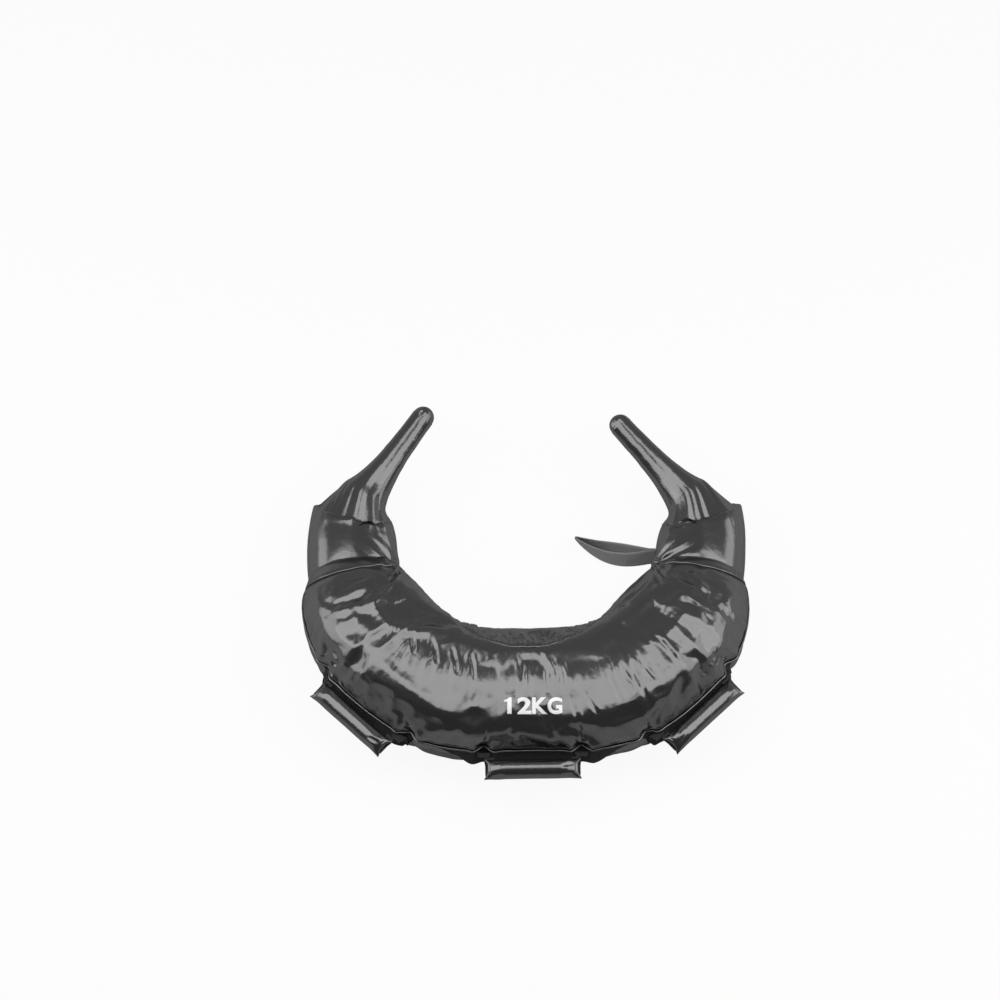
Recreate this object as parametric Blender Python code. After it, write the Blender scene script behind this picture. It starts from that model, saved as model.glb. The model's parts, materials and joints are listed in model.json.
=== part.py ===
import math

import bmesh
import bpy
import numpy as np

# Bulgarian bag lying flat on the floor: x runs across, the grips face -y, the horns point to +y.
# Lengths are metres and angles are degrees.

# Plan of the filled tube: a superellipse arc that runs into two straight ends
ARC_HALF_SPAN = 0.2316
ARC_DEPTH = 0.2760
ARC_EXPONENT = 2.56
CROSS_SEAM_FRONT = 0.081
NECK_BACK = 0.009
ARC_SAMPLE = 0.001

# Section of the tube: an ellipse that settles flat on the floor
MIDDLE_HALF_WIDTH = 0.0915
END_HALF_WIDTH = 0.0605
FALL_EXPONENT = 3.3
HEIGHT_SHARE = 0.85
SINK_SHARE = 0.09
NECK_RADIUS = 0.052
NECK_HEIGHT = 0.056
NECK_FALL_EXPONENT = 3
NECK_TILT_UP = 20
NECK_YAW_SHARE = 0.5
NECK_LEAN = {"left": 0.003, "right": 0.0}

# Sewn skin, its seams and its filling
LEATHER = 0.0016
GAP = 0.0003
SOFT_GAP = 0.0006
PIPING_RADIUS = 0.0016
PIPING_PROUD = 0.0002
PIPING_CLEARANCE = 0.0006
WADDING = 0.006
BAG_END_SCALE_SHARES = (0.55, 0.86, 1.0)
BAG_END_RUN = 0.012
GUSSET_TOP = 5
GUSSET_BOTTOM = -50
INNER_SEAM_LOW = 205
INNER_SEAM_REST = 180
INNER_SEAM_DIP = 68
INNER_SEAM_REACH = 0.150

# Mesh steps
BODY_STEPS = 28
BAG_STEPS = (9, 10, 9)
TOP_STEPS = 8
INNER_STEPS = 6
BOTTOM_STEPS = 8
GUSSET_STEPS = 4
RING_STEPS = 28
SLEEVE_STEPS = 7
SEAM_SIDES = 6

# Horns: leather cones on a ball seat in the mouth of each end sleeve
HORN_LENGTH = 0.174
HORN_TIP_RADIUS = 0.0145
HORN_FLARE_LENGTH = 0.0405
HORN_FLARE_EXPONENT = 1.05
HORN_SEAT_GAP = 0.0006
HORN_RISE = 10.5
HORN_YAW = {"left": 36, "right": 43}
HORN_SIDES = 22
SEAT_ANGLES = (135, 120, 105, 90)
FLARE_STATION_SHARES = (0.05, 0.11, 0.18, 0.26, 0.36, 0.49, 0.66, 0.84, 0.92)
TIP_ANGLES = (30, 60, 90)

# Grips: a leather wrap on a split foam core over a webbing strap. Each sits at a share of the way
# from the middle to a cross seam, and its pull draws the outer side of the tube in.
GRIP_SPAN = 0.129
GRIP_PLACE_SHARES = {"left": -0.507, "centre": 0.0195, "right": 0.518}
GRIP_TURN = {"left": -3, "centre": 0, "right": 2.5}
GRIP_DRAW = {"left": 0.0035, "centre": 0.0088, "right": 0.0035}
GRIP_DRAW_HALF = {"left": 0.060, "centre": 0.115, "right": 0.060}
GRIP_RADIUS = 0.013
GRIP_LEVER = {"left": 0.0172, "centre": 0.0152, "right": 0.0165}
GRIP_DROOP = 15
GRIP_ROLL_HALF = 0.044
GRIP_CORE_HALF = 0.0415
GRIP_END_HALF = 0.0134
GRIP_END_HALF_THICK = 0.0024
GRIP_LEATHER = 0.0014
GRIP_STEPS = 14
GRIP_END_STATION_SHARES = (0.0, 0.35, 0.7, 1.0)
GRIP_STRAP_HALF = 0.0084
GRIP_STRAP_THICK = 0.0014
GRIP_LEG_WIDTH = 0.012
GRIP_END_MARGIN = 0.0015

# Grip anchors: webbing sewn to the gusset, with a short tab to the hinge line
ANCHOR_WIDTH = 0.014
ANCHOR_DROP = 0.024
ANCHOR_BELOW_SEAM = 0.0026
ANCHOR_THICK = 0.0016
ANCHOR_TAB = 0.005
ANCHOR_TAB_THICK = 0.0024
ANCHOR_ROOT_GAP = 0.0011
ANCHOR_END_FACES = ((0, 1, 6, 7), (0, 7, 8), (1, 2, 5, 6), (2, 3, 4, 5))

# Wrist loops: webbing on edge, sewn under each end sleeve; the left one rests along the inner side
LOOP_WIDTH = 0.025
LOOP_LENGTH = 0.106
LOOP_THICK = 0.002
LOOP_OPEN_HALF = {"left": 0.0015, "right": 0.0065}
LOOP_HOLE_START = 0.008
LOOP_FLOOR_GAP = 0.0006
LOOP_STEPS = 12
LOOP_ROOT_Y = -0.038
LOOP_ROOT_FROM_AXIS = {"left": 0.056, "right": 0.0603}
LOOP_YAW = {"left": 76, "right": 0}
LOOP_BOW = {"left": 0.022, "right": 0.038}
LOOP_BOW_EXPONENT = {"left": 2, "right": 3}
LOOP_ROOT_LEAN = {"left": 0, "right": 20}
LOOP_TIP_LEAN = {"left": 0, "right": -25}
LOOP_TAIL_HALF_THICK = 0.0012
LOOP_TAIL_STEPS = 8

# Mesh and search settings
MERGE_DISTANCE = 0.000001
SHARP_ANGLE = 50
AXIS_SAMPLES = 4000
SPAN_SEARCH_STEPS = 40
WALL_SEARCH_STEPS = 6

UP = np.array([0.0, 0.0, 1.0])


def clear_scene():
    for item in list(bpy.data.objects):
        bpy.data.objects.remove(item)


def unit(v):
    return v / np.linalg.norm(v)


def ease(t):
    return (1 - math.cos(math.pi * t)) / 2


def tan_degrees(angle):
    return math.tan(math.radians(angle))


# Plan curve

def build_axis():
    t = np.linspace(0, math.pi / 2, AXIS_SAMPLES)
    x = ARC_HALF_SPAN * np.sin(t) ** (2 / ARC_EXPONENT)
    y = -ARC_DEPTH * np.cos(t) ** (2 / ARC_EXPONENT)
    x = np.append(x, ARC_HALF_SPAN)
    y = np.append(y, NECK_BACK)
    run = np.concatenate([[0], np.cumsum(np.hypot(np.diff(x), np.diff(y)))])
    count = int(round(run[-1] / ARC_SAMPLE))
    s = np.linspace(0, run[-1], count)
    x = np.interp(s, run, x)
    y = np.interp(s, run, y)
    tx = np.gradient(x, s)
    ty = np.gradient(y, s)
    size = np.hypot(tx, ty)
    return s, x, y, ty / size, -tx / size


AXIS_S, AXIS_X, AXIS_Y, AXIS_NX, AXIS_NY = build_axis()
NECK_S = AXIS_S[-1]
CROSS_S = float(np.interp(-CROSS_SEAM_FRONT, AXIS_Y, AXIS_S))


def axis_at(s):
    side = -1 if s < 0 else 1
    run = abs(s)
    x, y, nx, ny = (float(np.interp(run, AXIS_S, row)) for row in (AXIS_X, AXIS_Y, AXIS_NX, AXIS_NY))
    return side * x, y, side * nx, ny


def sleeve_share(s):
    return min(max((abs(s) - CROSS_S) / (NECK_S - CROSS_S), 0), 1)


def half_width(s):
    if abs(s) <= CROSS_S:
        fall = math.cos(math.pi / 2 * (abs(s) / CROSS_S) ** FALL_EXPONENT)
        return END_HALF_WIDTH + (MIDDLE_HALF_WIDTH - END_HALF_WIDTH) * fall
    return END_HALF_WIDTH + (NECK_RADIUS - END_HALF_WIDTH) * sleeve_share(s) ** NECK_FALL_EXPONENT


def half_height(s):
    if abs(s) <= CROSS_S:
        return HEIGHT_SHARE * half_width(s)
    start = HEIGHT_SHARE * END_HALF_WIDTH
    return start + (NECK_RADIUS - start) * ease(sleeve_share(s))


def centre_height(s):
    if abs(s) <= CROSS_S:
        return half_height(s) * (1 - SINK_SHARE)
    start = HEIGHT_SHARE * END_HALF_WIDTH * (1 - SINK_SHARE)
    return start + (NECK_HEIGHT - start) * ease(sleeve_share(s))


def grip_place(side):
    return GRIP_PLACE_SHARES[side] * CROSS_S


def outer_draw(s):
    """How far the grips draw the tube's outer side in at this place."""
    total = 0
    for side, draw in GRIP_DRAW.items():
        share = min(abs(s - grip_place(side)) / GRIP_DRAW_HALF[side], 1)
        total += draw * math.cos(math.pi / 2 * share) ** 2
    return total


def neck_lean(s):
    """How far this side's neck leans in at its mouth, towards the other one."""
    return NECK_LEAN["left"] if s < 0 else -NECK_LEAN["right"]


def skin_point(s, theta, inset):
    """A point of the tube's surface, theta from the outer side over the top, moved in by inset."""
    x, y, nx, ny = axis_at(s)
    turn = math.cos(math.radians(theta))
    out = (half_width(s) - inset) * turn - outer_draw(s) * max(turn, 0) ** 2
    up = (half_height(s) - inset) * math.sin(math.radians(theta))
    z = max(centre_height(s) + up, inset)
    end = sleeve_share(s) ** 2
    yaw = HORN_YAW["left" if s < 0 else "right"] * NECK_YAW_SHARE
    shear = end * (tan_degrees(yaw) * out - tan_degrees(NECK_TILT_UP) * up)
    return np.array([x + nx * out + end * neck_lean(s), y + ny * out + shear, z])


def skin_normal(s, theta):
    _, _, nx, ny = axis_at(s)
    flat = math.cos(math.radians(theta)) / half_width(s)
    rise = math.sin(math.radians(theta)) / half_height(s)
    return unit(np.array([nx * flat, ny * flat, rise]))


def around(s, theta, distance):
    """The angle that covers a distance along the section at this place."""
    a = half_width(s) * math.sin(math.radians(theta))
    b = half_height(s) * math.cos(math.radians(theta))
    return math.degrees(distance / math.hypot(a, b))


def inner_seam(s):
    return INNER_SEAM_REST - INNER_SEAM_DIP * math.exp(-(s / INNER_SEAM_REACH) ** 2)


# Mesh tools

def make_material(name, colour, roughness):
    material = bpy.data.materials.new(name)
    material.use_nodes = True
    shader = material.node_tree.nodes["Principled BSDF"]
    shader.inputs["Base Color"].default_value = (*colour, 1)
    shader.inputs["Roughness"].default_value = roughness
    shader.inputs["Metallic"].default_value = 0
    return material


def add_object(name, vertices, faces, material, pivot=None):
    """One closed solid, with its origin on the pivot where it moves."""
    origin = np.zeros(3) if pivot is None else pivot
    mesh = bpy.data.meshes.new(name)
    mesh.from_pydata([tuple(np.asarray(v) - origin) for v in vertices], [], faces)
    work = bmesh.new()
    work.from_mesh(mesh)
    bmesh.ops.remove_doubles(work, verts=work.verts, dist=MERGE_DISTANCE)
    bmesh.ops.delete(work, geom=[e for e in work.edges if not e.link_faces], context="EDGES")
    bmesh.ops.recalc_face_normals(work, faces=work.faces)
    work.to_mesh(mesh)
    work.free()
    mesh.shade_smooth()
    mesh.set_sharp_from_angle(angle=math.radians(SHARP_ANGLE))
    mesh.materials.append(material)
    item = bpy.data.objects.new(name, mesh)
    item.location = origin
    bpy.context.collection.objects.link(item)
    return item


def strips(first, second, closed):
    """Quads between two rows of vertex numbers."""
    count = len(first)
    last = count if closed else count - 1
    return [(first[i], first[(i + 1) % count], second[(i + 1) % count], second[i]) for i in range(last)]


def number_rows(rows):
    vertices = [point for row in rows for point in row]
    size = len(rows[0])
    return vertices, [[size * j + i for i in range(size)] for j in range(len(rows))]


def solid_loft(rows, path_closed=False):
    """Closed rings joined along a path, capped at both ends or joined end to end."""
    vertices, index = number_rows(rows)
    faces = []
    for first, second in zip(index, index[1:]):
        faces += strips(first, second, True)
    if path_closed:
        faces += strips(index[-1], index[0], True)
    else:
        faces += [tuple(reversed(index[0])), tuple(index[-1])]
    return vertices, faces


def wall_loft(outer, inner, ring_closed):
    """A wall between an outer and an inner skin, open at both ends of its path."""
    vertices, index = number_rows(outer + inner)
    out_rows = index[:len(outer)]
    in_rows = index[len(outer):]
    faces = []
    for rows in (out_rows, in_rows):
        for first, second in zip(rows, rows[1:]):
            faces += strips(first, second, ring_closed)
    for end in (0, -1):
        faces += strips(out_rows[end], in_rows[end], ring_closed)
    if not ring_closed:
        for edge in (0, -1):
            faces += strips([row[edge] for row in out_rows], [row[edge] for row in in_rows], False)
    return vertices, faces


def bead(points, normals, radius, closed):
    """A round cord along points, for piping and welts."""
    rows = []
    count = len(points)
    for i, point in enumerate(points):
        before = points[(i - 1) % count] if closed or i > 0 else points[i]
        after = points[(i + 1) % count] if closed or i < count - 1 else points[i]
        along = unit(after - before)
        side = unit(np.cross(along, normals[i]))
        rise = np.cross(side, along)
        turns = [2 * math.pi * k / SEAM_SIDES for k in range(SEAM_SIDES)]
        rows.append([point + radius * (math.cos(t) * rise + math.sin(t) * side) for t in turns])
    return solid_loft(rows, closed)


# Sewn shell of the tube

def body_stations():
    end = CROSS_S - PIPING_RADIUS - PIPING_CLEARANCE
    return np.linspace(-end, end, BODY_STEPS + 1)


def panel_edges(s):
    """Seam angles of the section, with the room that each seam takes to either side."""
    piped = PIPING_RADIUS + GAP
    butt = GAP / 2
    return {
        "top": (GUSSET_TOP, piped, inner_seam(s), butt, TOP_STEPS),
        "inner": (inner_seam(s), butt, INNER_SEAM_LOW, butt, INNER_STEPS),
        "bottom": (INNER_SEAM_LOW, butt, GUSSET_BOTTOM + 360, piped, BOTTOM_STEPS),
        "gusset": (GUSSET_BOTTOM + 360, piped, GUSSET_TOP + 360, piped, GUSSET_STEPS),
    }


def panel_angles(s, panel):
    start, start_room, end, end_room, steps = panel_edges(s)[panel]
    angles = list(np.linspace(start, end, steps + 1))
    angles[0] += around(s, start, start_room)
    angles[-1] -= around(s, end, end_room)
    return angles


def layer_angles(s):
    """Every second angle of the panels, seams included, for the layers inside."""
    angles = []
    for start, _, end, _, steps in panel_edges(s).values():
        angles += list(np.linspace(start, end, steps + 1))[:-1:2]
    return angles


def add_panel(name, panel, material):
    stations = body_stations()
    outer = [[skin_point(s, a, 0) for a in panel_angles(s, panel)] for s in stations]
    inner = [[skin_point(s, a, LEATHER) for a in panel_angles(s, panel)] for s in stations]
    add_object(name, *wall_loft(outer, inner, False), material)


def add_piping(name, theta, material):
    points = []
    normals = []
    for s in body_stations():
        normal = skin_normal(s, theta)
        points.append(skin_point(s, theta, 0) + normal * PIPING_PROUD)
        normals.append(normal)
    add_object(name, *bead(points, normals, PIPING_RADIUS, False), material)


def add_cross_seam(name, side, material):
    points = []
    normals = []
    for k in range(RING_STEPS):
        theta = 360 * k / RING_STEPS
        normal = skin_normal(side * CROSS_S, theta)
        point = skin_point(side * CROSS_S, theta, 0) + normal * PIPING_PROUD
        point[2] = max(point[2], PIPING_RADIUS)
        points.append(point)
        normals.append(normal)
    add_object(name, *bead(points, normals, PIPING_RADIUS, True), material)


def sleeve_stations(side, end):
    start = CROSS_S + PIPING_RADIUS + PIPING_CLEARANCE
    return [side * s for s in np.linspace(start, end, SLEEVE_STEPS + 1)]


def ring(s, inset, steps):
    return [skin_point(s, 360 * k / steps, inset) for k in range(steps)]


def add_sleeve(name, side, material):
    stations = sleeve_stations(side, NECK_S)
    outer = [ring(s, 0, RING_STEPS) for s in stations]
    inner = [ring(s, LEATHER, RING_STEPS) for s in stations]
    add_object(name, *wall_loft(outer, inner, True), material)


def add_end_wadding(name, side, material):
    end = NECK_S - seat_radius() - LEATHER
    rows = [ring(s, LEATHER + SOFT_GAP, RING_STEPS // 2) for s in sleeve_stations(side, end)]
    add_object(name, *solid_loft(rows), material)


def add_wadding_sleeve(material):
    stations = body_stations()
    inset = LEATHER + GAP
    outer = [[skin_point(s, a, inset) for a in layer_angles(s)] for s in stations]
    inner = [[skin_point(s, a, inset + WADDING) for a in layer_angles(s)] for s in stations]
    add_object("wadding_sleeve", *wall_loft(outer, inner, True), material)


def bag_row(s, scale):
    inset = LEATHER + GAP + WADDING + GAP
    points = np.array([skin_point(s, a, inset) for a in layer_angles(s)])
    middle = points.mean(axis=0)
    return [middle + (point - middle) * scale for point in points]


def add_sandbags(material):
    """Three sand-filled bags in a row, each drawn in towards its tied ends."""
    stations = body_stations()
    first = 0
    for name, steps in zip(("left_sandbag", "centre_sandbag", "right_sandbag"), BAG_STEPS):
        inside = stations[first:first + steps + 1]
        low = inside[0] + GAP
        high = inside[-1] - GAP
        places = [low, low + BAG_END_RUN / 2, *inside[1:-1], high - BAG_END_RUN / 2, high]
        scales = [1.0] * len(places)
        for k, scale in enumerate(BAG_END_SCALE_SHARES):
            scales[k] = scale
            scales[-1 - k] = scale
        rows = [bag_row(s, scale) for s, scale in zip(places, scales)]
        add_object(name, *solid_loft(rows), material)
        first += steps


# Horns

def seat_radius():
    return NECK_RADIUS - LEATHER - HORN_SEAT_GAP


def horn_profile():
    """Height along the horn and radius: ball seat, flare, cone and round tip."""
    radius = seat_radius()
    profile = [(radius * math.cos(math.radians(a)), radius * math.sin(math.radians(a))) for a in SEAT_ANGLES]
    shoulder = HORN_LENGTH - HORN_TIP_RADIUS
    for share in FLARE_STATION_SHARES:
        h = share * HORN_LENGTH
        flare = math.exp(-(h / HORN_FLARE_LENGTH) ** HORN_FLARE_EXPONENT)
        profile.append((h, HORN_TIP_RADIUS + (radius - HORN_TIP_RADIUS) * flare))
    for angle in TIP_ANGLES:
        turn = math.radians(angle)
        profile.append((shoulder + HORN_TIP_RADIUS * math.sin(turn), HORN_TIP_RADIUS * math.cos(turn)))
    return profile


def inset_profile(profile, inset):
    """The profile moved in along its normals, with its last point kept on the axis."""
    moved = []
    for i, (h, r) in enumerate(profile):
        h0, r0 = profile[max(i - 1, 0)]
        h1, r1 = profile[min(i + 1, len(profile) - 1)]
        run = math.hypot(h1 - h0, r1 - r0)
        moved.append((h + inset * (r1 - r0) / run, r - inset * (h1 - h0) / run))
    moved[-1] = (profile[-1][0] - inset, 0)
    return moved


def horn_frame(side):
    sign = -1 if side == "left" else 1
    yaw = math.radians(HORN_YAW[side])
    rise = math.radians(HORN_RISE)
    x, y, _, _ = axis_at(sign * NECK_S)
    centre = np.array([x + neck_lean(sign), y, NECK_HEIGHT])
    flat = math.cos(rise)
    along = np.array([-sign * math.sin(yaw) * flat, math.cos(yaw) * flat, math.sin(rise)])
    across = unit(np.cross(along, UP))
    return centre, along, across, np.cross(across, along)


def turned_rows(profile, frame, sides):
    centre, along, across, over = frame
    rows = []
    for h, r in profile:
        turns = [2 * math.pi * k / sides for k in range(sides)]
        rows.append([centre + along * h + r * (math.cos(t) * across + math.sin(t) * over) for t in turns])
    return rows


def add_horn(side, leather, filling):
    frame = horn_frame(side)
    profile = horn_profile()
    skin_rows = turned_rows(profile, frame, HORN_SIDES)
    lining_rows = turned_rows(inset_profile(profile, LEATHER), frame, HORN_SIDES)
    vertices, faces = solid_loft(skin_rows + lining_rows[::-1], True)
    add_object(side + "_horn_cover", vertices, faces, leather, frame[0])
    core = inset_profile(profile, LEATHER + GAP)[1:-1]
    rows = turned_rows(core, frame, HORN_SIDES // 2)
    add_object(side + "_horn_core", *solid_loft(rows), filling, frame[0])


# Grips

def anchor_angle(s):
    return GUSSET_TOP - around(s, GUSSET_TOP, PIPING_RADIUS + ANCHOR_BELOW_SEAM)


def grip_ends(place):
    """The two places along the gusset whose distance is the grip's span."""
    low, high = 0, GRIP_SPAN
    for _ in range(SPAN_SEARCH_STEPS):
        half = (low + high) / 2
        ends = [skin_point(place + k * half, anchor_angle(place + k * half), 0) for k in (-1, 1)]
        if np.linalg.norm(ends[1] - ends[0]) > GRIP_SPAN:
            high = half
        else:
            low = half
    return place - half, place + half, ends


def hinge_offset():
    return GAP + ANCHOR_THICK + ANCHOR_TAB + ANCHOR_ROOT_GAP


def grip_frame(side):
    first, last, ends = grip_ends(grip_place(side))
    chord = unit(ends[1] - ends[0])
    turn = math.radians(GRIP_TURN[side])
    along = math.cos(turn) * chord + math.sin(turn) * np.cross(UP, chord)
    out = unit(np.cross(along, UP))
    middle = (ends[0] + ends[1]) / 2 + out * hinge_offset()
    return first, last, middle, along, out


def grip_point(frame, x, reach, lift):
    """A place on a grip: along it, out from its hinge line and square to both."""
    _, _, middle, along, out = frame
    droop = math.radians(GRIP_DROOP)
    radial = math.cos(droop) * out - math.sin(droop) * UP
    square = math.sin(droop) * out + math.cos(droop) * UP
    return middle + x * along + reach * radial + lift * square


def grip_section(x):
    """Half reach and half thickness of the wrap at x."""
    flat_run = GRIP_SPAN / 2 - GRIP_END_MARGIN - GRIP_ROLL_HALF
    share = min(max((abs(x) - GRIP_ROLL_HALF) / flat_run, 0), 1)
    half = GRIP_RADIUS + (GRIP_END_HALF - GRIP_RADIUS) * share
    thick = GRIP_RADIUS + (GRIP_END_HALF_THICK - GRIP_RADIUS) * math.sin(math.pi / 2 * share)
    return half, thick


def add_grip_cover(name, frame, lever, material):
    """Leather wrapped round the core, its edges meeting at the strap on the bag side."""
    slit = GRIP_STRAP_THICK / 2 + GAP
    flat_run = GRIP_SPAN / 2 - GRIP_END_MARGIN - GRIP_ROLL_HALF
    places = [GRIP_ROLL_HALF + share * flat_run for share in GRIP_END_STATION_SHARES]
    places = [-x for x in reversed(places)] + [0] + places
    outer = []
    inner = []
    for x in places:
        half, thick = grip_section(x)
        for rows, inset in ((outer, 0), (inner, GRIP_LEATHER)):
            row = []
            a = half - inset
            b = thick - inset
            open_angle = math.asin(min(slit / b, 1))
            for k in range(GRIP_STEPS + 1):
                turn = open_angle + (2 * math.pi - 2 * open_angle) * k / GRIP_STEPS
                row.append(grip_point(frame, x, lever - a * math.cos(turn), b * math.sin(turn)))
            rows.append(row)
    add_object(name, *wall_loft(outer, inner, False), material, frame[2])


def add_grip_core(name, frame, lever, material):
    """A foam rod split from the bag side to take the strap."""
    radius = GRIP_RADIUS - GRIP_LEATHER - SOFT_GAP
    slot = GRIP_STRAP_THICK / 2 + GAP
    floor = lever + GRIP_STRAP_HALF + SOFT_GAP
    opening = math.asin(slot / radius)
    steps = GRIP_STEPS
    outline = []
    for k in range(steps + 1):
        turn = opening + (2 * math.pi - 2 * opening) * k / steps
        outline.append((lever - radius * math.cos(turn), radius * math.sin(turn)))
    outline += [(floor, -slot), (floor, slot)]
    rows = [[grip_point(frame, x, reach, lift) for reach, lift in outline]
            for x in (-GRIP_CORE_HALF, GRIP_CORE_HALF)]
    add_object(name, *solid_loft(rows), material, frame[2])


def add_grip_strap(name, frame, lever, material):
    """Webbing through the core, with a leg at each end that bends at the hinge line."""
    end = GRIP_SPAN / 2 - GRIP_END_MARGIN
    leg = end - GRIP_LEG_WIDTH
    half = GRIP_STRAP_THICK / 2
    low = lever - GRIP_STRAP_HALF
    high = lever + GRIP_STRAP_HALF
    rows = []
    for lift, root in ((-half, 0), (0, -half), (half, 0)):
        outline = [(-end, root), (-leg, root), (-leg, low), (leg, low), (leg, root),
                   (end, root), (end, high), (-end, high)]
        rows.append([grip_point(frame, x, reach, lift) for x, reach in outline])
    add_object(name, *solid_loft(rows), material, frame[2])


def add_anchor(name, place, sign, frame, material):
    """Webbing sewn down the gusset, with a tab that ends just short of the hinge line."""
    _, _, middle, along, out = frame
    rows = []
    for k in (-1, 0, 1):
        s = place + k * ANCHOR_WIDTH / 2
        top = anchor_angle(s)
        tab = around(s, top, ANCHOR_TAB_THICK)
        foot = top - around(s, top, ANCHOR_DROP)
        waist = (top + foot) / 2
        face = GAP + ANCHOR_THICK
        half = ANCHOR_TAB_THICK / 2
        x = sign * (GRIP_SPAN / 2) + k * ANCHOR_WIDTH / 2
        root = middle + x * along - ANCHOR_ROOT_GAP * out
        rows.append([
            skin_point(s, top + tab / 2, -GAP),
            skin_point(s, top - tab / 2, -GAP),
            skin_point(s, waist, -GAP),
            skin_point(s, foot, -GAP),
            skin_point(s, foot, -face),
            skin_point(s, waist, -face),
            skin_point(s, top - tab / 2, -face),
            root - half * UP,
            root + half * UP,
        ])
    vertices, faces = solid_loft(rows)
    last = len(vertices) - len(rows[0])
    ends = [[start + i for i in face] for start in (0, last) for face in ANCHOR_END_FACES]
    add_object(name, vertices, faces[:-2] + ends, material)


def add_grip(side, leather, foam, webbing):
    frame = grip_frame(side)
    lever = GRIP_LEVER[side]
    add_grip_cover(side + "_grip_cover", frame, lever, leather)
    add_grip_core(side + "_grip_core", frame, lever, foam)
    add_grip_strap(side + "_grip_strap", frame, lever, webbing)
    add_anchor(side + "_grip_left_anchor", frame[0], -1, frame, webbing)
    add_anchor(side + "_grip_right_anchor", frame[1], 1, frame, webbing)
    return frame


# Wrist loops

def loop_frame(side):
    sign = -1 if side == "left" else 1
    yaw = math.radians(LOOP_YAW[side])
    root = np.array([sign * (ARC_HALF_SPAN - LOOP_ROOT_FROM_AXIS[side]), LOOP_ROOT_Y, LOOP_FLOOR_GAP])
    along = np.array([-sign * math.cos(yaw), -math.sin(yaw), 0.0])
    across = np.array([along[1], -along[0], 0.0]) * sign
    return root, along, across


def loop_edge(side, u):
    """The direction across the webbing's width, which leans more or less along the loop."""
    _, _, across = loop_frame(side)
    share = min(max(u / LOOP_LENGTH, 0), 1)
    lean = math.radians(LOOP_ROOT_LEAN[side] + (LOOP_TIP_LEAN[side] - LOOP_ROOT_LEAN[side]) * share)
    return math.cos(lean) * UP + math.sin(lean) * across


def loop_point(side, u, v, height):
    """A place on a loop: along its bowed middle line, off to one side and up its width."""
    root, along, across = loop_frame(side)
    share = max(u / LOOP_LENGTH, 0)
    power = LOOP_BOW_EXPONENT[side]
    bow = LOOP_BOW[side] * share ** power
    slope = LOOP_BOW[side] / LOOP_LENGTH * power * share ** (power - 1)
    beside = unit(across - along * slope)
    return root + along * u + across * bow + beside * v + loop_edge(side, u) * height


def loop_opening(side, u):
    hole = LOOP_LENGTH - LOOP_HOLE_START - LOOP_THICK
    share = min(max((u - LOOP_HOLE_START) / hole, 0), 1)
    return LOOP_OPEN_HALF[side] * math.sin(math.pi * share)


def loop_outlines(side):
    """Half outlines of the loop and of its hole, from the root to the folded tip."""
    outer = []
    hole = []
    for k in range(LOOP_STEPS + 1):
        share = ease(k / LOOP_STEPS)
        u = -LOOP_THICK + share * (LOOP_LENGTH + LOOP_THICK)
        near_end = min(u + LOOP_THICK, LOOP_LENGTH - u, LOOP_THICK) / LOOP_THICK
        round_off = math.sqrt(max(1 - (1 - near_end) ** 2, 0))
        outer.append((u, LOOP_THICK * round_off + loop_opening(side, u)))
        inside = LOOP_HOLE_START + share * (LOOP_LENGTH - LOOP_HOLE_START - LOOP_THICK)
        hole.append((inside, loop_opening(side, inside)))
    outer[0] = (outer[0][0], 0)
    outer[-1] = (LOOP_LENGTH, 0)
    hole[0] = (hole[0][0], 0)
    hole[-1] = (hole[-1][0], 0)
    return outer, hole


def add_wrist_loop(side, material):
    rows = []
    for half in loop_outlines(side):
        outline = half + [(u, -v) for u, v in half[-2:0:-1]]
        for height in (0, LOOP_WIDTH):
            rows.append([loop_point(side, u, v, height) for u, v in outline])
    outer_low, outer_high, hole_low, hole_high = rows
    vertices, faces = solid_loft([outer_low, outer_high, hole_high, hole_low], True)
    add_object(side + "_wrist_loop", vertices, faces, material, loop_frame(side)[0])


def wall_beside(side, y, z):
    """The x of the end sleeve's inner wall at this depth and height."""
    sign = -1 if side == "left" else 1
    shear = 0
    for _ in range(WALL_SEARCH_STEPS):
        s = sign * float(np.interp(y - shear, AXIS_Y, AXIS_S))
        rise = (z - centre_height(s)) / half_height(s)
        theta = 180 - math.degrees(math.asin(min(max(rise, -1), 1)))
        x, at_y, _ = skin_point(s, theta, -SOFT_GAP)
        shear += at_y - y
    return x


def add_loop_tail(side, material):
    """The sewn tail of a wrist loop, from the sleeve's wall to the hinge line."""
    sign = -1 if side == "left" else 1
    root, _, _ = loop_frame(side)
    edge = loop_edge(side, 0)
    rows = []
    for k in range(LOOP_TAIL_STEPS + 1):
        near = root + edge * LOOP_WIDTH * k / LOOP_TAIL_STEPS
        near = near + np.array([sign, 0.0, 0.0]) * (LOOP_THICK + GAP)
        row = []
        for step in (-LOOP_TAIL_HALF_THICK, LOOP_TAIL_HALF_THICK):
            y = near[1] + step
            ends = [np.array([near[0], y, near[2]]), np.array([wall_beside(side, y, near[2]), y, near[2]])]
            row += ends if step < 0 else ends[::-1]
        rows.append(row)
    add_object(side + "_loop_tail", *solid_loft(rows), material)


def settle_on_origin():
    """Moves the whole bag so that the middle of its footprint is the origin."""
    corners = [item.matrix_world @ v.co for item in bpy.data.objects for v in item.data.vertices]
    low = np.min(corners, axis=0)
    high = np.max(corners, axis=0)
    shift = -(low + high) / 2
    shift[2] = -low[2]
    for item in bpy.data.objects:
        item.location = np.array(item.location) + shift
    return shift, high - low


def say(label, values):
    print(label, [round(float(v), 5) for v in values])


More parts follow.
